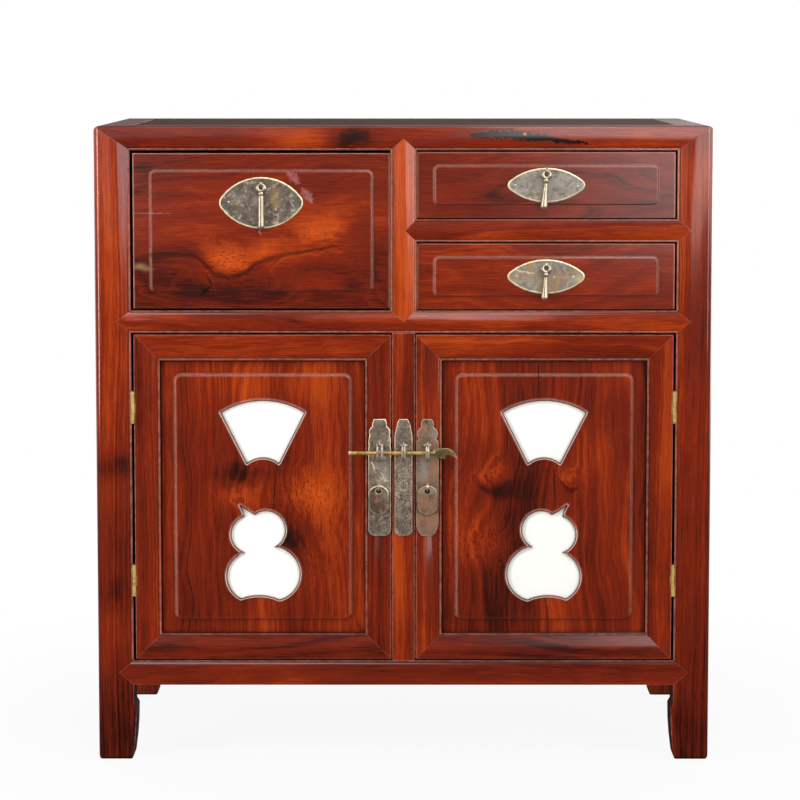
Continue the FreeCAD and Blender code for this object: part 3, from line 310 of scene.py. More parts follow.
def rosewood_figure(g, given):
    """Veins, fibres and pores of rosewood. The position's X runs along the grain."""
    place, burl, streak = given["Position"], given["Burl"], given["Streak"]
    with_grain = g.drawn(place, 0.4, 1.0, 1.0)
    bent = g.vector("MULTIPLY", place, g.combine(given["Stretch"], 1.0, 1.0))
    bent = g.shaken(bent, 7.0, 2.0, 0.5, given["Flow"])
    bent = g.shaken(bent, 42.0, 3.0, 0.5, 0.0048, with_grain)
    to_pith = (0.0, 0.31, 0.19)
    from_pith = g.vector("LENGTH", g.drawn(g.vector("ADD", bent, to_pith), 0.05, 1.0, 0.6))
    flame = g.minus(g.noise(g.drawn(place, 0.6, 1.0, 1.0), 150.0, 3.0, 0.6), 0.5)
    ring = g.math("DIVIDE", g.plus(from_pith, given["Rings"], g.times(flame, burl, 0.03)), given["Spacing"])
    fibre = g.noise(g.drawn(place, 26.0, 800.0, 800.0), 1.0, 3.0, 0.65)
    shares = (
        (g.noise_along(ring, 5.0, 0.68), 0.34),
        (g.noise_along(g.times(ring, 0.17), 2.0, 0.5), 0.24),
        (g.noise(with_grain, 12.0, 4.0, 0.6), 0.38),
        (fibre, 0.3),
    )
    tone = g.plus(*[g.times(value, share) for value, share in shares], given["Tone"])
    color = streak
    for low, high, tint in ((0.42, 0.56, "Shade"), (0.5, 0.68, "Body"), (0.66, 0.9, "Glow")):
        color = g.mix(g.span(tone, low, high, smooth=False), color, given[tint])
    vein_line = g.span(g.noise_along(g.times(ring, 0.55), 3.0, 0.75), 0.37, 0.3)
    dashes = g.span(g.noise(g.drawn(place, 170.0, 520.0, 520.0), 1.0, 2.0, 0.6), 0.54, 0.62)
    pores = g.span(g.noise(g.drawn(place, 110.0, 1900.0, 1900.0), 1.0, 1.0), 0.63, 0.73)
    color = g.mix(g.times(vein_line, 0.55), color, streak)
    color = g.mix(g.times(dashes, burl, 0.75), color, given["Shade"])
    color = g.mix(g.times(pores, 0.5), color, streak)
    return color, g.span(tone, 0.35, 0.75, 0.38, 0.28), g.minus(g.times(fibre, 0.3), pores)


def edge_wear_and_light(g, given):
    """Rounded normal near an edge, worn edges, how much an edge looks at the light for a painted edge
    highlight, and painted shade in corners from ambient occlusion.
    """
    reach, field = given["Reach"], given["Field"]

    def by_field(plain, raised):
        return g.span(field, 0.0, 1.0, plain, raised, False)

    soft = g.add("ShaderNodeBevel", {"Radius": given["Radius"]}, samples=4).outputs[0]
    wide = g.add("ShaderNodeBevel", {"Radius": reach}, samples=5).outputs[0]
    flat = g.add("ShaderNodeNewGeometry").outputs["Normal"]
    turned = g.minus(1.0, g.vector("DOT_PRODUCT", wide, flat))
    open_air = g.add("ShaderNodeAmbientOcclusion", {"Distance": g.times(reach, 2.6)}, samples=5).outputs["AO"]
    uneven = g.span(g.noise(given["Position"], 130.0, 3.0, 0.6), 0.38, 0.62, by_field(0.35, 0.75), 1.0)
    rounded = g.span(turned, 0.03, by_field(0.16, 0.09))
    edge = g.times(rounded, g.span(open_air, 0.4, 0.8), uneven)
    leaning = g.split(wide)
    sideways = g.math("ABSOLUTE", leaning[0])
    lean = g.plus(g.vector("DOT_PRODUCT", wide, (-0.2, -0.1, 0.5)), g.times(sideways, 0.5))
    across = g.plus(g.vector("DOT_PRODUCT", wide, given["Light"]), g.times(sideways, 0.7))
    all_round = g.span(lean, -0.1, 0.4, 0.3, 1.0)
    from_sides = g.span(across, -0.05, 0.4, 0.08, 1.0)
    side = g.plus(all_round, g.times(g.minus(from_sides, all_round), field))
    slanting = g.math("ABSOLUTE", g.times(leaning[0], leaning[2]))
    joint_line = g.span(g.times(slanting, given["Mitres"]), 0.02, 0.08, 1.0, 0.2)
    # The last output is painted shade where nearby surfaces crowd the point
    return soft, edge, g.times(side, joint_line), g.span(open_air, 0.85, 0.3)


def line_mark(g, given):
    """Mask of a crack or scratch between two points of the front, with a wandering line."""
    flat = g.drawn(given["Position"], *in_front)
    place = g.shaken(flat, 55.0, 3.0, 0.6, given["Wander"])
    run = g.vector("SUBTRACT", given["End"], given["Start"])
    reach = g.vector("SUBTRACT", place, given["Start"])
    whole = g.vector("DOT_PRODUCT", run, run)
    share = g.math("DIVIDE", g.vector("DOT_PRODUCT", reach, run), whole, clamp=True)
    off_line = g.vector("SUBTRACT", reach, g.grown(run, share))
    away = g.vector("LENGTH", g.drawn(off_line, *in_front))
    taper = g.math("SINE", g.times(g.span(share, 0.0, 1.0, 0.08, 0.92, False), math.pi))
    torn = g.span(g.noise(flat, 300.0, 3.0, 0.6), 0.35, 0.65, 0.45, 1.35)
    width = g.times(given["Half"], torn, g.plus(taper, 0.15))
    return (g.span(g.math("DIVIDE", away, width), 1.0, 0.45),)


def old_metal(g, given):
    """Mottled tarnish with pits, pale scratches and roughness of old bronze or brass."""
    place, spread, pitting = given["Position"], given["Spread"], given["Pitting"]
    broad, fine = g.noise(place, spread, 3.0, 0.6, 0.5), g.noise(place, 620.0, 3.0, 0.65)
    cloud = g.plus(g.times(broad, 0.55), g.times(fine, 0.45))
    other_place = g.vector("ADD", place, (0.31, 0.17, 0.43))
    stipple = g.noise(place, 1150.0, 1.0, 0.5)
    pit = g.span(stipple, g.span(pitting, 0.0, 1.0, 0.3, 0.5, False), 0.25)
    grain = g.span(stipple, g.span(pitting, 0.0, 1.0, 0.85, 0.52, False), 0.88)
    scratch = g.noise(g.drawn(place, 330.0, 330.0, 700.0), 1.0, 4.0, 0.7, 1.5)
    pale_from = g.span(given["Scratches"], 0.0, 1.0, 0.78, 0.5, False)
    color = given["Dark"]
    for share, tint in (
        (g.span(cloud, 0.36, 0.56), "Body"),
        (g.span(g.noise(other_place, spread, 4.0, 0.7), 0.5, 0.66), "Second"),
        (g.times(pit, 0.7), "Dark"),
        (g.times(grain, pitting), "Pale"),
        (g.times(g.span(scratch, pale_from, g.plus(pale_from, 0.1)), 0.6), "Pale"),
    ):
        color = g.mix(share, color, given[tint])
    roughness = g.plus(g.span(cloud, 0.3, 0.7, 0.5, 0.34), g.times(pit, 0.12))
    return color, roughness, g.minus(g.times(cloud, 0.3), g.times(pit, pitting))


skin_outputs = {"Color": "Color", "Roughness": "Float", "Height": "Float"}
# Shared effects: what makes them, their inputs with a number's default or the kind, and their outputs
effects = {
    "Rosewood Figure": (
        rosewood_figure,
        {
            "Position": "Vector", "Rings": 0.0, "Tone": 0.0, "Burl": 0.0, "Spacing": 0.0068, "Flow": 0.034,
            "Stretch": 0.21, "Streak": "Color", "Shade": "Color", "Body": "Color", "Glow": "Color",
        },
        skin_outputs,
    ),
    "Edge Wear And Light": (
        edge_wear_and_light,
        {
            "Radius": 0.0006, "Reach": 0.0014, "Mitres": 0.0, "Field": 0.0, "Light": "Vector",
            "Position": "Vector",
        },
        {"Normal": "Vector", "Edge": "Float", "Lit": "Float", "Corner Shade": "Float"},
    ),
    "Line Mark": (
        line_mark,
        {"Position": "Vector", "Start": "Vector", "End": "Vector", "Half": 0.001, "Wander": 0.002},
        {"Mask": "Float"},
    ),
    "Old Metal": (
        old_metal,
        {
            "Position": "Vector", "Spread": 90.0, "Pitting": 0.3, "Scratches": 0.3,
            "Dark": "Color", "Body": "Color", "Second": "Color", "Pale": "Color",
        },
        skin_outputs,
    ),
}


def effect_tree(name):
    """The node group of a shared effect."""
    make, inputs, outputs = effects[name]
    tree = bpy.data.node_groups.new(name, "ShaderNodeTree")
    for label, default in inputs.items():
        kind = default if isinstance(default, str) else "Float"
        socket = tree.interface.new_socket(label, in_out="INPUT", socket_type="NodeSocket" + kind)
        if kind == "Float":
            socket.default_value = default
    for label, kind in outputs.items():
        tree.interface.new_socket(label, in_out="OUTPUT", socket_type="NodeSocket" + kind)
    g = Graph(tree)
    results = make(g, g.add("NodeGroupInput").outputs)
    g.add("NodeGroupOutput", dict(enumerate(results)))
    return tree


grain_orders = {"X": (0, 1, 2), "Y": (1, 0, 2), "Z": (2, 0, 1)}


class Finish(Graph):
    """A new material with its shader and the place on the piece, which stays on it as it moves."""

    def __init__(self, name):
        self.material = bpy.data.materials.new(name)
        self.material.use_nodes = True
        super().__init__(self.material.node_tree)
        self.shader = self.tree.nodes["Principled BSDF"]
        self.place = self.add("ShaderNodeTexCoord").outputs["Object"]

    def surface(self, color, roughness, height, depth, edge=None, specular=None):
        """Links the varying parts of a finish to its shader."""
        bump = self.add("ShaderNodeBump", {"Height": height, "Strength": 1.0, "Distance": depth})
        if edge:
            self.feed(bump.inputs["Normal"], edge["Normal"])
        for key, value in (("Base Color", color), ("Roughness", roughness), ("Normal", bump.outputs[0])):
            self.feed(self.shader.inputs[key], value)
        if specular is not None:
            self.shader.inputs["Specular IOR Level"].default_value = specular
        return self.material

    def wear_and_light(self, radius, reach, **inputs):
        """The outputs of the worn edges, the painted edge light and the painted corner shade."""
        return self.effect("Edge Wear And Light", Position=self.place, Radius=radius, Reach=reach, **inputs)

    def figure(self, along, seed, spacing, flow, tints, **inputs):
        """The outputs of the rosewood figure, each seed from another part of the log."""
        parts = self.split(self.place)
        turned = self.combine(*[parts[i] for i in grain_orders[along]])
        in_log = self.vector("ADD", turned, (seed * 1.7, seed * 0.53, seed * 0.29))
        inputs.update(zip(("Streak", "Shade", "Body", "Glow"), tints))
        return self.effect("Rosewood Figure", Position=in_log, Spacing=spacing, Flow=flow, **inputs)

    def spots(self, marks, wander=0.026):
        """Sum of soft uneven spots on the front: x, z, half width, half height and amount."""
        if not marks:
            return 0.0
        place = self.shaken(self.place, 38.0, 3.0, 0.6, wander)
        found = []
        for x, z, wide, high, value in marks:
            share = self.drawn(self.vector("SUBTRACT", place, (x, 0.0, z)), 1 / wide, 0.0, 1 / high)
            fall = self.times(self.vector("DOT_PRODUCT", share, share), -1.0)
            found.append(self.times(self.math("EXPONENT", fall), value))
        return self.plus(*found)

    def tint(self, color, marks, tint, wander):
        """The colour with spots of a tint."""
        share = self.add("ShaderNodeClamp", {"Value": self.spots(marks, wander)}).outputs[0]
        return self.mix(share, color, tint)

    def lines(self, marks):
        """Union of cracks or scratches: x and z of both ends, half width and wander."""
        mask = 0.0
        for x0, z0, x1, z1, half, wander in marks:
            ends = {"Start": (x0, 0.0, z0), "End": (x1, 0.0, z1)}
            line = self.effect("Line Mark", Position=self.place, Half=half, Wander=wander, **ends)
            mask = self.most(mask, line["Mask"])
        return mask

    def bend(self, points, half):
        """Mask of a soft vein that runs sideways through points of the front, given as (x, z)."""
        left, right = points[0][0], points[-1][0]
        low, high = min(z for x, z in points), max(z for x, z in points)
        parts = self.split(self.shaken(self.place, 60.0, 2.0, 0.5, 0.006))
        along = self.span(parts[0], left, right, smooth=False)
        node = self.add("ShaderNodeFloatCurve", {"Value": along})
        curve = node.mapping.curves[0]
        for x, z in points[1:-1]:
            curve.points.new((x - left) / (right - left), (z - low) / (high - low))
        for end in (0, -1):
            curve.points[end].location.y = (points[end][1] - low) / (high - low)
        node.mapping.update()
        level = self.span(node.outputs[0], 0.0, 1.0, low, high, False)
        away = self.math("ABSOLUTE", self.minus(parts[2], level))
        taper = self.math("SINE", self.times(along, math.pi))
        width = self.times(self.plus(self.times(taper, 0.9), 0.1), half)
        return self.times(self.span(self.math("DIVIDE", away, width), 1.6, 0.2), self.span(taper, 0.0, 0.25))

    def groove_shadow(self, door):
        """Mask of painted shadow, with dirt, in the groove round a door's panel, wider at the left and the
        top where the frame casts it.
        """
        parts = self.split(self.place)
        shades = 0.0
        for axis, side, wide in ((0, 0, 0.0036), (0, 1, 0.0024), (2, 0, 0.0022), (2, 1, 0.0034)):
            inset = door_frame_width if side == 0 else -door_frame_width
            away = self.math("ABSOLUTE", self.minus(parts[axis], door[side][axis] + inset))
            shades = self.most(shades, self.span(away, wide, wide * 0.35, 0.0, 0.9))
        return shades

    def lip_light_and_shade(self, lips):
        """Masks of the painted highlight on the outer arris and the painted shade on the inner side of the
        lips round a panel's openings.

        Each part of an opening is given by the x and z of its middle and the z of its foot,
        from the top down.
        """
        parts = self.split(self.place)
        middle = (lips[-1][0], 0.0, lips[-1][1])
        for x, z, foot in reversed(lips[:-1]):
            inputs = {"Factor": self.math("GREATER_THAN", parts[2], foot), 4: middle, 5: (x, 0.0, z)}
            middle = self.add("ShaderNodeMix", inputs, data_type="VECTOR").outputs[1]
        outward = self.drawn(self.vector("SUBTRACT", self.place, middle), *in_front)
        tilted = self.add("ShaderNodeBevel", {"Radius": 0.0019}, samples=6).outputs[0]
        leaning = self.vector("DOT_PRODUCT", tilted, self.vector("NORMALIZE", outward))
        raised = self.math("LESS_THAN", parts[1], lip_level)
        below = self.span(self.split(tilted)[2], 0.25, 0.02)
        bright = self.times(self.span(leaning, 0.02, 0.12), below, raised, 0.9)
        return bright, self.times(self.span(leaning, 0.0, -0.1), raised, 0.92)


def rosewood(node, along, seed, tone=0.0, field=0.0, loose=0.0, lips=(), rings=(), tones=(), burls=(),
             bends=(), cracks=(), scars=(), scuffs=(), tinted=()):
    """Polished rosewood for one board. Loose figure is for wide panels, and field for raised ones."""
    wood = bpy.context.scene.cabinet_wood
    m = Finish("Rosewood " + node)
    figure = m.figure(
        along, seed, wood.ring_spacing * (1 + loose * 1.3), wood.flow * (1 + loose * 0.8),
        (wood.streak, wood.shade, wood.body, wood.glow), Rings=m.spots(rings), Burl=m.spots(burls),
        Tone=m.plus(m.spots(tones), tone), Stretch=0.21 + loose * 0.45,
    )
    # Direction of the light that the painted edge highlight faces
    light = (-0.1 - loose * 0.15, 0.0, 0.2 + loose * 0.6)
    edge = m.wear_and_light(0.0007, 0.0017 + field * 0.0014, Mitres=1.0 - field, Field=field, Light=light)
    # Painted shade: corners and grooves are darkened towards the streak colour by ambient occlusion
    color = m.mix(m.times(edge["Corner Shade"], 0.92), figure["Color"], wood.streak)
    # Painted highlight: rounded edges that face the light are paled, partly as edges rubbed by handling
    color = m.mix(m.times(edge["Edge"], edge["Lit"], 0.85), color, wood.rub_and_highlight)
    if lips:
        # Painted highlight and painted shade on the lips, and painted shadow in the groove round the panel
        bright, dark = m.lip_light_and_shade(lips)
        color = m.mix(bright, color, wood.lip_highlight)
        for mask in (dark, m.groove_shadow(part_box(node.replace("panel", "stiles")))):
            color = m.mix(mask, color, wood.streak)
    parts = m.split(m.place)
    facing = m.split(m.add("ShaderNodeTexCoord").outputs["Normal"])
    # The upper faces of the top have lost their polish; the inner sides of the feet never had any and are
    # painted dark as shade under the cabinet
    above = m.math("GREATER_THAN", parts[2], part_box("top_rail_front")[1].z - 0.02)
    skin = m.times(m.span(facing[2], 0.6, 0.85), above)
    under = m.math("LESS_THAN", parts[2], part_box("bottom_rail_front")[0].z + 0.001)
    unpolished_shaded = m.times(m.span(m.times(facing[0], m.math("SIGN", parts[0])), -0.4, -0.8), under)
    color = m.mix(m.times(skin, 0.85), color, wood.top)
    color = m.mix(m.times(unpolished_shaded, 0.8), color, wood.streak)
    skin = m.most(skin, unpolished_shaded)
    height = figure["Height"]
    torn = m.span(m.noise(m.place, 210.0, 4.0, 0.75), 0.36, 0.68)
    for marks, tint, share, depth in (
        (scuffs, wood.smear, m.times(m.plus(torn, 0.4), 0.5), 0.0),
        (cracks, wood.streak, 0.92, 6.0),
        (scars, wood.scar, 0.97, 9.0),
    ):
        if marks:
            mask = m.lines(marks)
            color = m.mix(m.times(mask, share), color, tint)
            height = m.minus(height, m.times(mask, depth))
    for tint, *marks in tinted:
        color = m.tint(color, marks, getattr(wood, tint), 0.003)
    for points, half in bends:
        color = m.mix(m.times(m.bend(points, half), 0.6), color, wood.streak)
    m.feed(m.shader.inputs["Coat Weight"], m.span(skin, 0.0, 1.0, wood.polish, 0.0))
    m.shader.inputs["Coat Roughness"].default_value = wood.polish_roughness
    return m.surface(color, m.plus(figure["Roughness"], m.times(skin, 0.35)), height, 0.00006, edge, 0.08)


def inner_wood(name, along, seed):
    """Unpolished wood inside, with plain grain."""
    wood = bpy.context.scene.cabinet_wood
    m = Finish(name)
    tints = (wood.inner_dark, wood.inner_dark, wood.inner_pale, wood.inner_pale)
    figure = m.figure(along, seed, wood.ring_spacing * 1.3, wood.flow, tints)
    edge = m.wear_and_light(0.0008, 0.001)
    return m.surface(figure["Color"], m.plus(figure["Roughness"], 0.35), figure["Height"], 0.0001, edge, 0.25)


def worn_top(name, along, seed):
    """The top board's dull, dusty skin."""
    wood = bpy.context.scene.cabinet_wood
    m = Finish(name)
    tints = (wood.streak, wood.top, wood.top, wood.shade)
    figure = m.figure(along, seed, wood.ring_spacing, wood.flow, tints)
    dust = m.span(m.noise(m.place, 420.0, 3.0, 0.7), 0.6, 0.72)
    color = m.mix(m.times(dust, 0.4), figure["Color"], wood.dust)
    rough = m.plus(figure["Roughness"], 0.5)
    return m.surface(color, rough, figure["Height"], 0.0001, m.wear_and_light(0.001, 0.002), 0.02)


def metal(name, colours, spread=90.0, pitting=0.25, scratches=0.3, rim=0.0, depth=0.00012, lines=(),
          tinted=(), rim_from=None, shine=0.0, metallic=0.3):
    """Old bronze or brass with worn bright edges. The colours are its body, dark, second and pale ones."""
    tints = bpy.context.scene.cabinet_metal
    body, dark, second, pale = [getattr(tints, key) for key in colours.split()]
    m = Finish(name)
    skin = m.effect("Old Metal", Position=m.place, Spread=spread, Pitting=pitting, Scratches=scratches,
                    Dark=dark, Body=body, Second=second, Pale=pale)
    edge = m.wear_and_light(0.0004, 0.0009)
    # Painted shade in corners, from ambient occlusion
    color = m.mix(m.times(edge["Corner Shade"], 0.85), skin["Color"], tints.corner_shade)
    for tint, *marks in tinted:
        color = m.tint(color, marks, getattr(tints, tint), 0.006)
    if lines:
        ragged = m.span(m.noise(m.place, 500.0, 3.0, 0.7), 0.4, 0.6)
        color = m.mix(m.times(m.lines(lines), ragged, 0.8), color, pale)
    if rim:
        band = m.add("ShaderNodeAttribute", attribute_name="rim").outputs["Fac"]
        worn = m.span(m.noise(m.place, 210.0, 3.0, 0.6), 0.3, 0.55, 0.35, 1.0)
        bright = m.most(edge["Edge"], m.times(band, worn))
        if rim_from:
            bright = m.times(bright, m.span(m.split(m.place)[2], *rim_from, 0.22, 1.0))
        color = m.mix(m.times(bright, rim), color, pale)
    m.shader.inputs["Metallic"].default_value = metallic
    return m.surface(color, m.minus(skin["Roughness"], shine), skin["Height"], depth, edge)


def stone(name):
    """Polished pale stone with faint clouds and painted shade along the line where it meets the wood."""
    stage = bpy.context.scene.cabinet_stage
    m = Finish(name)
    cloud = m.noise(m.place, 30.0, 5.0, 0.6, 0.8)
    vein = m.span(m.noise(m.place, 14.0, 4.0, 0.6, 2.0), 0.5, 0.52)
    color = m.mix(m.times(cloud, 0.1), stage.stone, stage.stone_cloud)
    color = m.mix(m.times(vein, 0.03), color, stage.stone_vein)
    edge = m.wear_and_light(0.0006, 0.0007)
    # Painted shade where the stone meets the wood, from ambient occlusion
    color = m.mix(edge["Corner Shade"], color, stage.seam)
    return m.surface(color, m.span(cloud, 0.3, 0.7, 0.3, 0.42), cloud, 0.00005, edge)


# Meshes


def dress(node, material, angle=35.0):
    """Gives a fixed node its finish, with soft faces and sharp edges."""
    piece = frame["nodes"][node]
    piece.data.materials.clear()
    piece.data.materials.append(material)
    piece.modifiers.new("Crisp edges", "NODES").node_group = crisp_edges(angle)
    return piece


def crisp_edges(angle):
    """Modifier tree that joins the faces of a solid and keeps only edges past an angle sharp."""
    name = f"Crisp Edges {angle:g}"
    tree = bpy.data.node_groups.get(name)
    if tree:
        return tree
    tree = bpy.data.node_groups.new(name, "GeometryNodeTree")
    for way in ("INPUT", "OUTPUT"):
        tree.interface.new_socket("Geometry", in_out=way, socket_type="NodeSocketGeometry")
    g = Graph(tree)
    given = g.add("NodeGroupInput").outputs[0]
    merged = g.add("GeometryNodeMergeByDistance", {"Geometry": given, "Distance": weld / 2}).outputs[0]
    turn = g.add("GeometryNodeInputMeshEdgeAngle").outputs["Unsigned Angle"]
    limits = {0: turn, 1: math.radians(angle)}
    sharp = g.add("FunctionNodeCompare", limits, operation="GREATER_THAN").outputs[0]
    inputs = {"Mesh": merged, "Remove Custom": True, "Edge Sharpness": sharp, "Face Sharpness": False}
    soft = g.add("GeometryNodeSetMeshNormal", inputs, mode="SHARPNESS").outputs[0]
    g.add("NodeGroupOutput", {0: soft})
    return tree


def new_piece(name, bm, material, body):
    """Turns a built mesh into a smooth piece that rides on a body."""
    mesh = bpy.data.meshes.new(name)
    bmesh.ops.recalc_face_normals(bm, faces=bm.faces)
    for face in bm.faces:
        face.smooth = True
    bm.to_mesh(mesh)
    bm.free()
    piece = bpy.data.objects.new(name, mesh)
    bpy.context.scene.collection.objects.link(piece)
    mesh.materials.append(material)
    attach(piece, body)
    return piece


def rimmed(node, material, body, width, rise):
    """Stands a copy with a raised rim for a flat plate. The point value "rim" is one on the rim."""
    bm = bmesh.new()
    bm.from_mesh(frame["nodes"][node].data)
    bmesh.ops.remove_doubles(bm, verts=bm.verts, dist=weld)
    front = min(vert.co.y for vert in bm.verts)
    flat = [face for face in bm.faces if all(vert.co.y < front + 10 * weld for vert in face.verts)]
    band = bm.verts.layers.float.new("rim")
    for vert in bm.verts:
        vert[band] = 1.0
    for share, lift, value in ((0.4, rise, 1.0), (0.4, -rise, 0.0), (0.2, 0.0, 0.0)):
        bmesh.ops.inset_region(
            bm, faces=flat, thickness=share * width, depth=lift, use_even_offset=True, use_boundary=True
        )
        for vert in {vert for face in flat for vert in face.verts}:
            vert[band] = value
    piece = new_piece(node + "_rimmed", bm, material, body)
    piece.modifiers.new("Crisp edges", "NODES").node_group = crisp_edges(40.0)
    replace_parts(piece, node)


def ring_of(bm, centre, across, up, radius, sides):
    """New points round a centre."""
    turns = [2 * math.pi * k / sides for k in range(sides)]
    return [bm.verts.new(centre + (across * math.cos(turn) + up * math.sin(turn)) * radius) for turn in turns]


def skinned(bm, rings, closed=False):
    """Faces between neighbouring rings of points, with flat ends unless they close on themselves."""
    for first, second in zip(rings, rings[1:] + rings[:1] if closed else rings[1:]):
        for k in range(len(first)):
            j = (k + 1) % len(first)
            bm.faces.new((first[k], first[j], second[j], second[k]))
    if not closed:
        bm.faces.new(rings[0][::-1])
        bm.faces.new(rings[-1])


def lathe(bm, profile, matrix):
    """Adds a turned form from (radius, height) pairs about Z, with closed ends."""
    sides = int(bpy.context.scene.cabinet_hardware.round_sides)
    turned = matrix.to_3x3()
    across, up = turned @ Vector((1.0, 0.0, 0.0)), turned @ Vector((0.0, 1.0, 0.0))
    skinned(bm, [ring_of(bm, matrix @ Vector((0.0, 0.0, height)), across, up, radius, sides)
                 for radius, height in profile])


def eased(points, steps=6):
    """A smooth run of points through the given ones."""
    result = []
    ends = [points[0]] + list(points) + [points[-1]]
    for i in range(1, len(ends) - 2):
        before, here, after, beyond = [Vector(point) for point in ends[i - 1 : i + 3]]
        for k in range(steps):
            t = k / steps
            second = 2 * before - 5 * here + 4 * after - beyond
            third = 3 * here - before - 3 * after + beyond
            result.append((2 * here + (after - before) * t + second * t**2 + third * t**3) * 0.5)
    return result + [Vector(points[-1])]


def tube(bm, centres, radius, closed=False, sides=16):
    """Adds a round wire along points, with flat ends unless it is a ring. The radius may be one per point."""
    count = len(centres)
    radii = radius if isinstance(radius, list) else [radius] * count
    rings = []
    side = Vector((1.0, 0.0, 0.0))
    for i, centre in enumerate(centres):
        after = centres[(i + 1) % count] if closed or i < count - 1 else centre
        before = centres[i - 1] if closed or i > 0 else centre
        way = (after - before).normalized()
        if abs(way.dot(side)) > 0.9:
            side = Vector((0.0, 0.0, 1.0))
        across = way.cross(side).normalized()
        side = across.cross(way).normalized()
        rings.append(ring_of(bm, centre, across, side, radii[i], sides))
    skinned(bm, rings, closed)


def dome(radius, height, steps=7):
    """Profile of a domed head that stands on its base."""
    turns = [quarter_turn * k / steps for k in range(steps + 1)]
    return [(radius * math.cos(turn) + radius * 0.02, height * math.sin(turn)) for turn in turns]


def facing_front(x, y, z):
    """Matrix that stands a turned form's Z out of the front at a place."""
    return Matrix.Translation((x, y, z)) @ Matrix.Rotation(quarter_turn, 4, "X")


def ellipse(centre, wide, high, steps=40):
    """Points round an ellipse that faces the front."""
    turns = [2 * math.pi * k / steps for k in range(steps)]
    return [centre + Vector((wide * math.cos(turn), 0.0, high * math.sin(turn))) for turn in turns]


# Boards: the axis that the grain runs along, and how much darker or brighter the board is.
# The order of the boards decides which part of the log each one comes from.
frame_boards = {
    "post_front_left": ("Z", -0.01), "post_front_right": ("Z", -0.03), "post_back_left": ("Z", 0.0),
    "post_back_right": ("Z", 0.0), "top_rail_front": ("X", -0.01), "top_rail_back": ("X", 0.0),
    "top_rails_side": ("Y", 0.0), "mid_rail_front": ("X", 0.02), "bottom_rail_front": ("X", -0.03),
    "drawer_rail_front": ("X", 0.07), "drawer_divider_front": ("Z", 0.15), "center_stile": ("Z", 0.0),
    "mid_rails_side": ("Y", 0.0), "bottom_rails_side": ("Y", 0.0), "back_rails": ("X", -0.03),
    "side_panels": ("Z", 0.0), "back_panels": ("X", -0.04), "door_left_stiles": ("Z", -0.01),
    "door_right_stiles": ("Z", 0.02), "door_left_rails": ("X", -0.02), "door_right_rails": ("X", -0.01),
    "drawer_left_front": ("X", -0.03), "drawer_upper_front": ("X", -0.03), "drawer_lower_front": ("X", -0.01),
}
drawer_fronts = ("drawer_left_front", "drawer_upper_front", "drawer_lower_front")
inner_boards = {
    "top_braces": "Y", "bottom_board": "X", "drawer_floor": "X", "drawer_partition": "Y",
    "drawer_runners": "Y", "drawer_left_box": "Y", "drawer_upper_box": "Y", "drawer_lower_box": "Y",
}

# What shows on single boards, in metres of the front. Spots are x, z, half width, half height and amount.
# Cracks, scars and scuffs are x and z of both ends, half width and wander. Bends are points and half width.
board_marks = {
    "top_rail_front": {
        "scars": (
            (0.078, 0.7375, 0.148, 0.7388, 0.0064, 0.006), (0.106, 0.7382, 0.178, 0.7328, 0.0064, 0.006),
            (0.15, 0.7345, 0.214, 0.7275, 0.0032, 0.007),
        ),
        "tinted": (("ember", (0.1405, 0.7388, 0.0015, 0.0013, 1.4)),),
        "tones": (
            (-0.06, 0.7335, 0.023, 0.014, -0.25), (-0.12, 0.734, 0.045, 0.012, 0.12),
            (0.28, 0.736, 0.1, 0.02, 0.06),
        ),
    },
    "drawer_left_front": {
        "rings": ((-0.2, 0.597, 0.036, 0.02, 0.009), (-0.1, 0.624, 0.03, 0.018, 0.008)),
        "burls": ((-0.2, 0.59, 0.03, 0.022, 1.0), (-0.1, 0.624, 0.03, 0.018, 0.7)),
        "tones": (
            (-0.205, 0.59, 0.026, 0.018, 0.24), (-0.15, 0.602, 0.035, 0.014, 0.17),
            (-0.095, 0.624, 0.03, 0.02, 0.15), (-0.1, 0.565, 0.03, 0.008, 0.1),
            (-0.29, 0.62, 0.04, 0.05, -0.03), (-0.17, 0.552, 0.16, 0.02, -0.045),
        ),
        "cracks": (
            (-0.226, 0.5605, -0.236, 0.5505, 0.0034, 0.004), (-0.229, 0.574, -0.222, 0.561, 0.0012, 0.003),
        ),
        "bends": ((
            (
                (-0.3165, 0.5956), (-0.2579, 0.5994), (-0.2273, 0.5841), (-0.2043, 0.5721), (-0.1865, 0.5772),
                (-0.1635, 0.5917), (-0.1253, 0.6007), (-0.0616, 0.6109),
            ),
            0.0034,
        ),),
        "scuffs": (
            (-0.1335, 0.694, -0.1215, 0.682, 0.0062, 0.009), (-0.1165, 0.674, -0.1065, 0.66, 0.0058, 0.009),
            (-0.167, 0.6275, -0.165, 0.62, 0.002, 0.006), (-0.313, 0.6465, -0.271, 0.6468, 0.0009, 0.001),
        ),
        "tinted": (
            ("inner_pale", (-0.307, 0.5845, 0.0075, 0.0035, 0.75), (-0.298, 0.5815, 0.006, 0.0025, 0.5)),
        ),
    },
    # The spot at the foot of each front post is darker wood and also painted shade where the light falls off
    # near the floor
    "post_front_left": {
        "tones": (
            (-0.335, 0.352, 0.03, 0.012, -0.1), (-0.335, 0.2, 0.03, 0.02, -0.08),
            (-0.34, 0.6, 0.05, 0.12, 0.05), (-0.34, 0.02, 0.06, 0.06, -0.1),
        ),
    },
    "post_front_right": {"tones": ((0.34, 0.02, 0.06, 0.06, -0.03), (0.34, 0.66, 0.04, 0.1, 0.1))},
    "door_left_rails": {"tones": ((-0.165, 0.484, 0.2, 0.03, 0.09), (-0.165, 0.14, 0.2, 0.03, -0.04))},
}

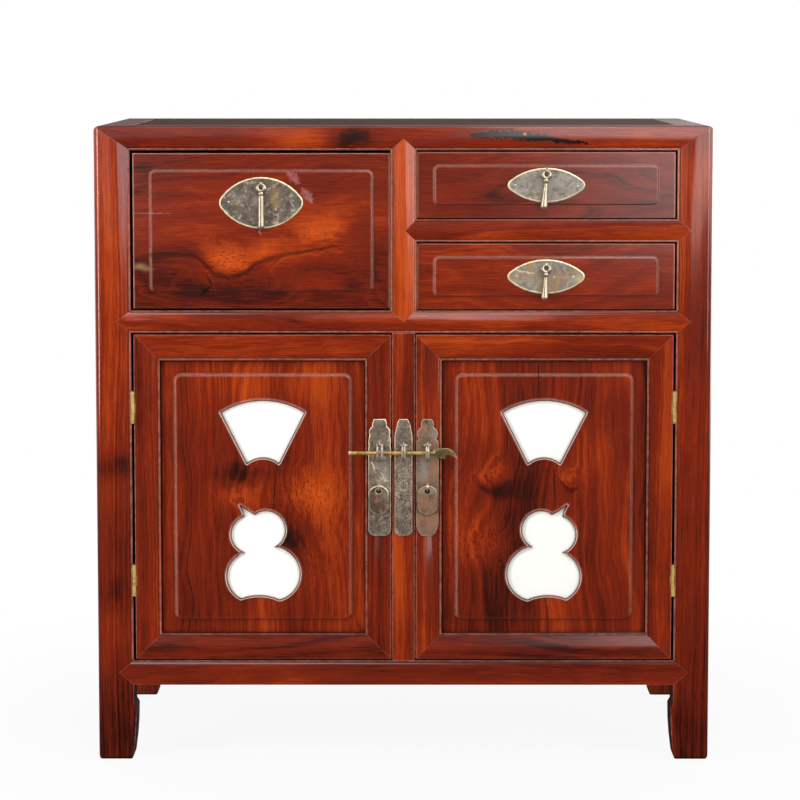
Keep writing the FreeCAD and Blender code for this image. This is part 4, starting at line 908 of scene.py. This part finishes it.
panel_marks = {
    "door_left_panel": {
        "rings": (
            (-0.1254, 0.3335, 0.02, 0.022, 0.016), (-0.19, 0.32, 0.03, 0.025, 0.014),
            (-0.13, 0.27, 0.05, 0.03, 0.018),
        ),
        "burls": (
            (-0.112, 0.3156, 0.045, 0.03, 1.0), (-0.2, 0.3156, 0.03, 0.02, 0.8),
            (-0.13, 0.24, 0.05, 0.04, 0.8),
        ),
        "tones": (
            (-0.1865, 0.341, 0.03, 0.014, -0.17), (-0.112, 0.3156, 0.035, 0.022, 0.16),
            (-0.2018, 0.3156, 0.022, 0.02, 0.14), (-0.133, 0.2647, 0.02, 0.016, -0.14),
            (-0.13, 0.45, 0.08, 0.03, 0.09), (-0.09, 0.2, 0.05, 0.06, 0.05), (-0.2, 0.19, 0.03, 0.05, -0.05),
        ),
        "lips": ((-0.162, 0.392, 0.335), (-0.171, 0.2727, 0.2445), (-0.166, 0.2198, 0.0)),
        "cracks": ((-0.1487, 0.3535, -0.1534, 0.2915, 0.0007, 0.002),),
    },
    "door_right_panel": {
        "rings": (
            (0.1038, 0.3409, 0.018, 0.016, 0.024), (0.1926, 0.3373, 0.012, 0.012, 0.018),
            (0.075, 0.335, 0.007, 0.008, 0.01), (0.0918, 0.2605, 0.035, 0.03, 0.022),
        ),
        "burls": (
            (0.1038, 0.3409, 0.02, 0.018, 1.0), (0.0918, 0.2605, 0.04, 0.035, 1.0),
            (0.1926, 0.3373, 0.014, 0.013, 1.0),
        ),
        "tones": (
            (0.1038, 0.3409, 0.017, 0.014, 0.14), (0.112, 0.322, 0.022, 0.01, -0.12),
            (0.1926, 0.3373, 0.011, 0.01, 0.14), (0.0918, 0.2605, 0.03, 0.03, 0.12),
            (0.215, 0.37, 0.03, 0.04, 0.08), (0.075, 0.18, 0.05, 0.06, -0.07),
            (0.17, 0.25, 0.15, 0.25, -0.03),
        ),
        "lips": ((0.162, 0.392, 0.335), (0.162, 0.2727, 0.2445), (0.164, 0.2198, 0.0)),
        "cracks": ((0.158, 0.478, 0.1575, 0.43, 0.0009, 0.001), (0.176, 0.354, 0.178, 0.301, 0.0009, 0.002)),
        "bends": (
            (((0.085, 0.331), (0.0925, 0.3235), (0.106, 0.3205), (0.1195, 0.327), (0.1275, 0.343)), 0.0042),
            (((0.1805, 0.341), (0.1875, 0.3275), (0.197, 0.3215), (0.2065, 0.3275)), 0.0036),
        ),
    },
}


class CabinetOperator:
    """Shared by the operators below."""

    bl_options = {"REGISTER", "UNDO"}


class CABINET_OT_frame(CabinetOperator, bpy.types.Operator):
    """Finishes the posts, rails, stiles, drawer fronts and outer panels in polished rosewood"""

    bl_idname = "cabinet.frame"
    bl_label = "Frame and Boards"

    def execute(self, context):
        for seed, (node, (along, tone)) in enumerate(frame_boards.items(), 1):
            field = 1.0 if node in drawer_fronts else 0.0
            finish = rosewood(node, along, seed, tone, field, field * 0.35, **board_marks.get(node, {}))
            dress(node, finish)
        dress("top_panel", worn_top("Worn top", "X", 40.0))
        return {"FINISHED"}


class CABINET_OT_doors(CabinetOperator, bpy.types.Operator):
    """Finishes the figured door panels and their stone plaques"""

    bl_idname = "cabinet.doors"
    bl_label = "Door Panels and Plaques"

    def execute(self, context):
        for seed, (node, marks) in enumerate(panel_marks.items(), 50):
            dress(node, rosewood(node, "Z", seed, field=1.0, loose=1.0, **marks))
        pale = stone("Pale stone")
        for side in ("left", "right"):
            dress(f"door_{side}_plaques", pale)
        return {"FINISHED"}


class CABINET_OT_inside(CabinetOperator, bpy.types.Operator):
    """Finishes the drawer boxes, runners and floors in plain wood"""

    bl_idname = "cabinet.inside"
    bl_label = "Wood Inside"

    def execute(self, context):
        for seed, (node, along) in enumerate(inner_boards.items(), 70):
            dress(node, inner_wood("Inner " + node, along, seed))
        return {"FINISHED"}


# Metal edges sharper than this, in degrees, stay crisp
metal_angle = 40.0
# How far a plate's rim stands out
rim_rise = 0.0003


class CABINET_OT_hinges(CabinetOperator, bpy.types.Operator):
    """Finishes the butt hinges in pale brass"""

    bl_idname = "cabinet.hinges"
    bl_label = "Hinges"

    def execute(self, context):
        brass = metal("Hinge brass", "brass brass_dark brass pale", 160.0, 0.3, 0.4)
        for node in ("hinge_post_leaves", "hinge_pins", "door_left_hinge_leaves", "door_right_hinge_leaves"):
            dress(node, brass, metal_angle)
        return {"FINISHED"}


# Runs of the wires of the staples and loops: back from the plate or the pivot, and up
strand_route = (
    (0.0008, 0.0085), (-0.0048, 0.0092), (-0.0086, 0.0055), (-0.0091, 0.0), (-0.0086, -0.0055),
    (-0.0048, -0.0085), (0.0008, -0.0088),
)
loop_route = (
    (0.0026, 0.0032), (-0.0012, 0.0034), (-0.0032, 0.0012), (-0.0032, -0.0018), (-0.0012, -0.0038),
    (0.0026, -0.004),
)
# Rolled crown of a staple, sideways and forward, and the knob on it: radius, height and place
crown_route = ((-0.00384, -0.0012), (-0.00256, 0.0), (0.0, 0.0005), (0.00256, 0.0), (0.00384, -0.0012))
crown_forward, crown_up = 0.0048, 0.0098
knob_size = (0.0019, 0.0024)
knob_forward, knob_up = 0.0052, 0.0112
# Copper pin head: radius, height, and its place from the right tag's pivot
pin_size = (0.0024, 0.0018)
pin_forward, pin_up = 0.0038, 0.0006
# Embossed oval of the middle plate: height of its middle, its half width and half height, and its wire
oval_height = 0.3271
oval_half = (0.0044, 0.0062)
oval_wire = 0.0009
# Old scratches of the left plate
plate_scratches = (
    (-0.0375, 0.3565, -0.0335, 0.3475, 0.0011, 0.003), (-0.036, 0.3505, -0.0325, 0.343, 0.0009, 0.003),
    (-0.0285, 0.3375, -0.0175, 0.3335, 0.0022, 0.004), (-0.0265, 0.3435, -0.021, 0.334, 0.0012, 0.003),
)


def tag_hole_shade(side):
    """Spot of painted shade on the plate behind the hole of a tag."""
    pivot = pivots[f"door_{side}_tag_swing"]
    return ("hole", (pivot.x, pivots["door_left_tag_swing"].z - 0.005, 0.0034, 0.0034, 2.5))


class CABINET_OT_lock_plates(CabinetOperator, bpy.types.Operator):
    """Finishes the three lock plates, their staples and tags"""

    bl_idname = "cabinet.lock_plates"
    bl_label = "Lock Plates"

    def execute(self, context):
        plain = metal(
            "Left plate bronze", "stippled dark bronze pale", 150.0, 0.6, 0.3, 1.0,
            lines=plate_scratches, rim_from=(0.34, 0.38), tinted=(
                ("slate", (-0.0215, 0.338, 0.006, 0.012, 0.7), (-0.03, 0.352, 0.01, 0.006, 0.35)),
                ("dark", (-0.028, 0.282, 0.02, 0.012, 0.45), (-0.028, 0.395, 0.012, 0.008, 0.25)),
                tag_hole_shade("left"),
            ),
        )
        stippled = metal(
            "Stippled bronze", "stippled dark bronze pale", 120.0, 0.95, 0.3, 0.9, 0.0003,
            rim_from=(0.34, 0.38), tinted=(
                ("dark", (0.0, 0.28, 0.014, 0.025, 0.5), (0.0, 0.39, 0.012, 0.02, 0.45)),
            ),
        )
        coppery = metal(
            "Right plate bronze", "coppery dark copper pale", 60.0, 0.15, 0.1, 0.45,
            rim_from=(0.36, 0.4), tinted=(
                ("copper", (0.037, 0.345, 0.006, 0.012, 0.7), (0.033, 0.285, 0.009, 0.012, 0.8)),
                ("slate", (0.0235, 0.345, 0.006, 0.014, 0.6), (0.036, 0.388, 0.005, 0.008, 0.5)),
                tag_hole_shade("right"),
            ),
        )
        left_tag = metal(
            "Left tag bronze", "tag hole copper pale", 130.0, 0.7, 0.3, 0.8,
            rim_from=(0.313, 0.326), tinted=(
                ("slate", (-0.022, 0.318, 0.004, 0.008, 0.5)),
                ("dark", (-0.034, 0.305, 0.008, 0.006, 0.6)),
            ),
        )
        right_tag = metal(
            "Right tag bronze", "coppery dark copper pale", 70.0, 0.15, 0.1, 0.25,
            rim_from=(0.32, 0.33), tinted=(
                ("slate", (0.028, 0.323, 0.012, 0.005, 0.7)),
                ("copper", (0.028, 0.305, 0.012, 0.008, 0.5)),
            ),
        )
        for node, body, finish, width in (
            ("door_left_lock_plate", "door_left", plain, 0.0015),
            ("center_lock_plate", "carcass", stippled, 0.0013),
            ("door_right_lock_plate", "door_right", coppery, 0.001),
            ("door_left_pull_tag", "door_left_tag", left_tag, 0.0011),
            ("door_right_pull_tag", "door_right_tag", right_tag, 0.0009),
        ):
            rimmed(node, finish, body, width, rim_rise)
        self.make_oval()
        self.make_staples(context.scene.cabinet_hardware.strand_radius)
        self.make_pin()
        return {"FINISHED"}

    def make_oval(self):
        """Embossed oval of the middle plate."""
        boss = bmesh.new()
        centre = Vector((0.0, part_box("center_lock_plate")[0].y, oval_height))
        tube(boss, ellipse(centre, *oval_half), oval_wire, True)
        finish = metal("Oval bronze", "bronze dark bronze pale", 200.0, 0.5, 0.8)
        new_piece("plate_oval", boss, finish, "carcass")

    def make_staples(self, thick):
        """Staples of two strands with a rolled crown, and the wire loops that hold the tags."""
        finish = metal(
            "Staple bronze", "bronze stippled bronze pale", 300.0, 0.2, 0.5, shine=0.14, metallic=0.4
        )
        level = sum(corner.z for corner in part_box("center_staple")) / 2
        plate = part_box("center_lock_plate")[0].y
        for node, body, loop, spread in (
            ("door_left_staples", "door_left", True, 0.0027),
            ("center_staple", "carcass", False, 0.0013),
            ("door_right_staples", "door_right", True, 0.0011),
        ):
            middle = sum(corner.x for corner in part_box(node)) / 2
            bm = bmesh.new()
            for across in (middle - spread, middle + spread):
                path = [Vector((across, plate + back, level + rise)) for back, rise in strand_route]
                tube(bm, eased(path), thick)
            front, height = plate - crown_forward, level + crown_up
            roll = [Vector((middle + step, front - bulge, height)) for step, bulge in crown_route]
            tube(bm, eased(roll), thick * 1.1)
            lathe(bm, dome(*knob_size), facing_front(middle, plate - knob_forward, level + knob_up))
            if loop:
                pivot = pivots[body + "_tag_swing"]
                tube(bm, eased([pivot + Vector((0.0, back, rise)) for back, rise in loop_route]), thick)
            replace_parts(new_piece(node + "_strands", bm, finish, body), node)

    def make_pin(self):
        """Copper head of the pin over the right tag."""
        finish = metal("Pin copper", "pin copper pin pale", 240.0, 0.1, 0.3)
        x, y, z = pivots["door_right_tag_swing"]
        pin = bmesh.new()
        lathe(pin, dome(*pin_size), facing_front(x, y - pin_forward, z + pin_up))
        new_piece("tag_pin_head", pin, finish, "door_right")


class CABINET_OT_lock_bar(CabinetOperator, bpy.types.Operator):
    """Finishes the sliding lock bar in yellow brass"""

    bl_idname = "cabinet.lock_bar"
    bl_label = "Lock Bar"

    def execute(self, context):
        brass = metal(
            "Bar brass", "brass brass_dark brass pale", 110.0, 0.15, 0.3, rim=0.8, shine=0.14, tinted=(
                ("olive", (0.045, 0.366, 0.011, 0.008, 1.3), (0.057, 0.364, 0.004, 0.004, 0.5)),
                ("pale", (-0.0632, 0.366, 0.0012, 0.008, 1.0)),
            ),
        )
        dress("lock_bar", brass, metal_angle)
        return {"FINISHED"}


# Hanging drops: half width of the stem at its top and near its toe, and how far the drop leans
drop_shapes = {
    "left": (0.0035, 0.0039, 0.0),
    "upper": (0.0021, 0.0042, math.radians(4.5)),
    "lower": (0.0021, 0.0041, math.radians(3.0)),
}
# Bead on the neck of a drop, as (radius, height under the pivot), and where the stem starts under it
drop_bead = ((0.0004, -0.0077), (0.0021, -0.0081), (0.0031, -0.0098), (0.0032, -0.0114), (0.0027, -0.0129))
stem_top = 0.0152
# Eye of a drop: its centre under the pivot, half width, half height, and its wire at the top and the foot
eye_centre = 0.00405
eye_wide, eye_high = 0.0041, 0.0039
eye_thin, eye_thick = 0.0014, 0.0026
# Plate nails seen in the picture: drawer, place across and height
plate_nails = (
    ("left", -0.1483, 0.6514), ("left", -0.2032, 0.6604), ("upper", 0.2021, 0.6786),
    ("upper", 0.1296, 0.6795), ("lower", 0.1978, 0.5731), ("lower", 0.1319, 0.5736),
)


def drop_profile(neck, toe, reach):
    """Outline of a hanging drop under its eye, as (radius, height under the pivot)."""
    stem = reach - stem_top
    points = drop_bead + (
        (neck * 0.92, -0.0138), (neck, -stem_top), ((neck + toe) / 2, -stem_top - stem * 0.5),
        (toe, -stem_top - stem * 0.82), (toe * 0.97, 0.0021 - reach), (toe * 0.62, 0.0004 - reach),
        (0.0003, -reach),
    )
    smooth = eased([(radius, height, 0.0) for radius, height in points], 5)
    return [(max(point.x, 0.0002), point.y) for point in smooth]


class CABINET_OT_pulls(CabinetOperator, bpy.types.Operator):
    """Finishes the pull plates and their loops, and makes the hanging drops with their knobs and the plate
    nails
    """

    bl_idname = "cabinet.pulls"
    bl_label = "Drawer Pulls"

    def execute(self, context):
        finishes = {
            "left": metal(
                "Pull plate charcoal", "charcoal dark bronze pale", 130.0, 0.5, 0.35, 1.0,
                lines=((-0.1305, 0.66, -0.1275, 0.6545, 0.0007, 0.002),), tinted=(
                    ("ochre", (-0.15, 0.667, 0.006, 0.009, 0.7), (-0.146, 0.657, 0.004, 0.004, 0.5)),
                    ("slate", (-0.1715, 0.662, 0.004, 0.006, 0.8), (-0.194, 0.665, 0.008, 0.004, 0.35)),
                ),
            ),
            "upper": metal(
                "Pull plate slate", "slate charcoal bronze pale", 120.0, 0.25, 0.3, 0.95,
                tinted=(("charcoal", (0.152, 0.683, 0.006, 0.008, 0.5), (0.182, 0.672, 0.01, 0.005, 0.4)),),
            ),
            "lower": metal(
                "Pull plate gold", "slate charcoal ochre pale", 90.0, 0.3, 0.4, 0.95,
                lines=(
                    (0.1265, 0.5815, 0.1515, 0.577, 0.0014, 0.004),
                    (0.1715, 0.5735, 0.178, 0.572, 0.001, 0.002),
                ),
                tinted=(
                    ("brass", (0.205, 0.5702, 0.005, 0.004, 0.7)),
                    ("ochre", (0.15, 0.575, 0.016, 0.006, 0.4), (0.18, 0.571, 0.012, 0.008, 0.5)),
                ),
            ),
        }
        shiny = metal(
            "Drop metal", "drop bronze drop pale", 150.0, 0.05, 0.2, depth=0.00003, shine=0.2, metallic=0.6
        )
        bright = metal("Nail metal", "pale slate pale pale", 200.0, 0.05, 0.5)
        for name, finish in finishes.items():
            body = f"drawer_{name}"
            rimmed(f"{body}_pull_plate", finish, body, 0.0014, rim_rise)
            dress(f"{body}_pull_loop", shiny, metal_angle)
            self.make_drop(name, shiny)
        radius = context.scene.cabinet_hardware.nail_radius
        for k, (name, x, z) in enumerate(plate_nails, 1):
            bm = bmesh.new()
            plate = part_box(f"drawer_{name}_pull_plate")[0].y
            lathe(bm, dome(radius, radius * 0.7), facing_front(x, plate + 0.0001, z))
            new_piece(f"plate_nail_{k}", bm, bright, f"drawer_{name}")
        return {"FINISHED"}

    def make_drop(self, name, finish):
        """Hanging drop: a round eye, a bead and a swelling stem."""
        neck, toe, lean = drop_shapes[name]
        node = f"drawer_{name}_pull_drop"
        pivot = pivots[f"drawer_{name}_drop_swing"]
        bm = bmesh.new()
        lathe(bm, drop_profile(neck, toe, pivot.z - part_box(node)[0].z), Matrix())
        ring = ellipse(Vector((0.0, 0.0, -eye_centre)), eye_wide, eye_high)
        heights = [max(0.0, 1 + spot.z / (2 * eye_centre)) for spot in ring]
        tube(bm, ring, [eye_thick + (eye_thin - eye_thick) * height**3 for height in heights], True)
        hung = Matrix.Translation(pivot) @ Matrix.Rotation(lean, 4, "Y")
        bmesh.ops.transform(bm, matrix=hung, verts=bm.verts)
        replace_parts(new_piece(node + "_turned", bm, finish, f"drawer_{name}_drop"), node)


# Stage: the lamps' places, the heights on the front that they face, their width and height, and power
softboxes = {
    "Softbox left": ((-1.75, -1.35, 0.85), 0.42, 0.34, 1.5, 27.0),
    "Softbox right": ((1.6, -1.75, 0.9), 0.42, 0.2, 1.5, 13.0),
    "Softbox above": ((0.0, -1.5, 2.3), 0.5, 1.5, 0.25, 18.0),
}


def backdrop_rays(graph):
    """One where the background itself is seen, straight or through glass."""
    path = graph.add("ShaderNodeLightPath").outputs
    return graph.most(path["Is Camera Ray"], path["Is Transmission Ray"])


class CABINET_OT_stage(CabinetOperator, bpy.types.Operator):
    """Makes the pale floor, the white room, the soft lamps and the camera"""

    bl_idname = "cabinet.stage"
    bl_label = "Stage"

    def execute(self, context):
        stage = context.scene.cabinet_stage
        self.make_floor(stage)
        self.make_room(context, stage)
        for name, (place, height, wide, high, power) in softboxes.items():
            light = bpy.data.lights.new(name, "AREA")
            light.shape = "RECTANGLE"
            light.size = wide
            light.size_y = high
            light.energy = power
            toward = Vector((0.0, front_y, height)) - Vector(place)
            lamp = bpy.data.objects.new(name, light)
            lamp.location = place
            lamp.rotation_euler = toward.to_track_quat("-Z", "Y").to_euler()
            context.scene.collection.objects.link(lamp)
        self.make_camera(context, stage)
        context.scene.view_settings.view_transform = "Standard"
        return {"FINISHED"}

    def make_floor(self, stage):
        """Wide floor that keeps the shadow near the cabinet and is the background's white further out."""
        bm = bmesh.new()
        bmesh.ops.create_grid(bm, x_segments=8, y_segments=8, size=9.0)
        mesh = bpy.data.meshes.new("studio_floor")
        bm.to_mesh(mesh)
        bm.free()
        floor = bpy.data.objects.new("studio_floor", mesh)
        floor.location = (0.0, 0.0, floor_z)
        bpy.context.scene.collection.objects.link(floor)
        m = Finish("Studio floor")
        far = m.span(m.vector("LENGTH", m.place), 0.3, 0.9, 0.92, 1.0)
        # The floor glows in reflections only, more towards the back: a painted reflection
        reflection_glow = m.span(m.split(m.place)[1], -0.3, 0.6, 0.0, 0.3)
        glossy = m.add("ShaderNodeLightPath").outputs["Is Glossy Ray"]
        seen = m.shader.outputs[0]
        for share, strength in ((m.times(far, backdrop_rays(m)), 1.0), (glossy, reflection_glow)):
            glow = m.add("ShaderNodeEmission", {"Color": white, "Strength": strength})
            seen = m.add("ShaderNodeMixShader", {0: share, 1: seen, 2: glow.outputs[0]}).outputs[0]
        m.feed(m.tree.nodes["Material Output"].inputs["Surface"], seen)
        shade = m.noise(m.place, 3.0, 3.0, 0.5)
        pale = m.mix(m.times(shade, 0.04), stage.floor, stage.floor_cloud)
        mesh.materials.append(m.surface(pale, m.span(shade, 0.2, 0.8, 0.7, 0.8), shade, 0.0001))

    def make_room(self, context, stage):
        """White behind the cabinet, darker in front of it for reflections, and even light for the rest."""
        world = bpy.data.worlds.new("Studio room")
        world.use_nodes = True
        context.scene.world = world
        g = Graph(world.node_tree)
        toward = g.split(g.add("ShaderNodeTexCoord").outputs["Generated"])
        behind = g.times(g.span(toward[1], -0.1, 0.45), g.span(toward[2], 0.05, 0.45, 0.08, 1.0))
        right = g.span(toward[0], 0.03, 0.11, 0.15, 4.6)
        left = g.span(toward[0], -0.1, -0.07, 0.9, 0.0)
        ahead = g.times(g.span(toward[2], -0.12, -0.03), g.most(left, right))
        path = g.add("ShaderNodeLightPath").outputs
        mirrored = g.times(path["Is Glossy Ray"], g.most(behind, ahead))
        even = g.times(path["Is Diffuse Ray"], stage.room_light)
        background = world.node_tree.nodes["Background"]
        g.feed(background.inputs["Color"], white)
        g.feed(background.inputs["Strength"], g.most(backdrop_rays(g), mirrored, even))

    def make_camera(self, context, stage):
        """Camera at the photograph's place."""
        data = bpy.data.cameras.new("Photo camera")
        data.lens = stage.focal_length
        data.shift_y = stage.shift
        camera = bpy.data.objects.new("Photo camera", data)
        camera.location = (0.0, front_y - stage.camera_distance, stage.camera_height)
        level = math.atan2(stage.aim_z - camera.location.z, stage.camera_distance)
        raised = math.atan2(stage.shift * data.sensor_width, data.lens)
        yaw = math.atan2(-stage.aim_x, stage.camera_distance)
        camera.rotation_euler = (quarter_turn + level - raised, 0.0, yaw)
        context.scene.collection.objects.link(camera)
        context.scene.camera = camera


class CABINET_PT_looks(bpy.types.Panel):
    """Lists the steps and settings of the cabinet's looks"""

    bl_label = "Kang Cabinet"
    bl_idname = "CABINET_PT_looks"
    bl_space_type = "VIEW_3D"
    bl_region_type = "UI"
    bl_category = "Kang Cabinet"

    def draw(self, context):
        for operator in operators:
            self.layout.operator(operator.bl_idname)
        for name in settings_groups:
            group = getattr(context.scene, name)
            box = self.layout.box()
            for key in group.bl_rna.properties.keys():
                if key not in ("rna_type", "name"):
                    box.prop(group, key)


operators = (
    CABINET_OT_frame,
    CABINET_OT_doors,
    CABINET_OT_inside,
    CABINET_OT_hinges,
    CABINET_OT_lock_plates,
    CABINET_OT_lock_bar,
    CABINET_OT_pulls,
    CABINET_OT_stage,
)


def register():
    for group in settings_groups.values():
        bpy.utils.register_class(group)
    for name, group in settings_groups.items():
        setattr(bpy.types.Scene, name, PointerProperty(type=group))
    for operator in operators:
        bpy.utils.register_class(operator)
    bpy.utils.register_class(CABINET_PT_looks)


def unregister():
    bpy.utils.unregister_class(CABINET_PT_looks)
    for operator in reversed(operators):
        bpy.utils.unregister_class(operator)
    for name, group in settings_groups.items():
        delattr(bpy.types.Scene, name)
        bpy.utils.unregister_class(group)


def main():
    """Registers everything and makes each piece in order."""
    register()
    bpy.ops.cabinet.frame()
    bpy.ops.cabinet.doors()
    bpy.ops.cabinet.inside()
    bpy.ops.cabinet.hinges()
    bpy.ops.cabinet.lock_plates()
    bpy.ops.cabinet.lock_bar()
    bpy.ops.cabinet.pulls()
    bpy.ops.cabinet.stage()


if __name__ == "__main__":
    main()
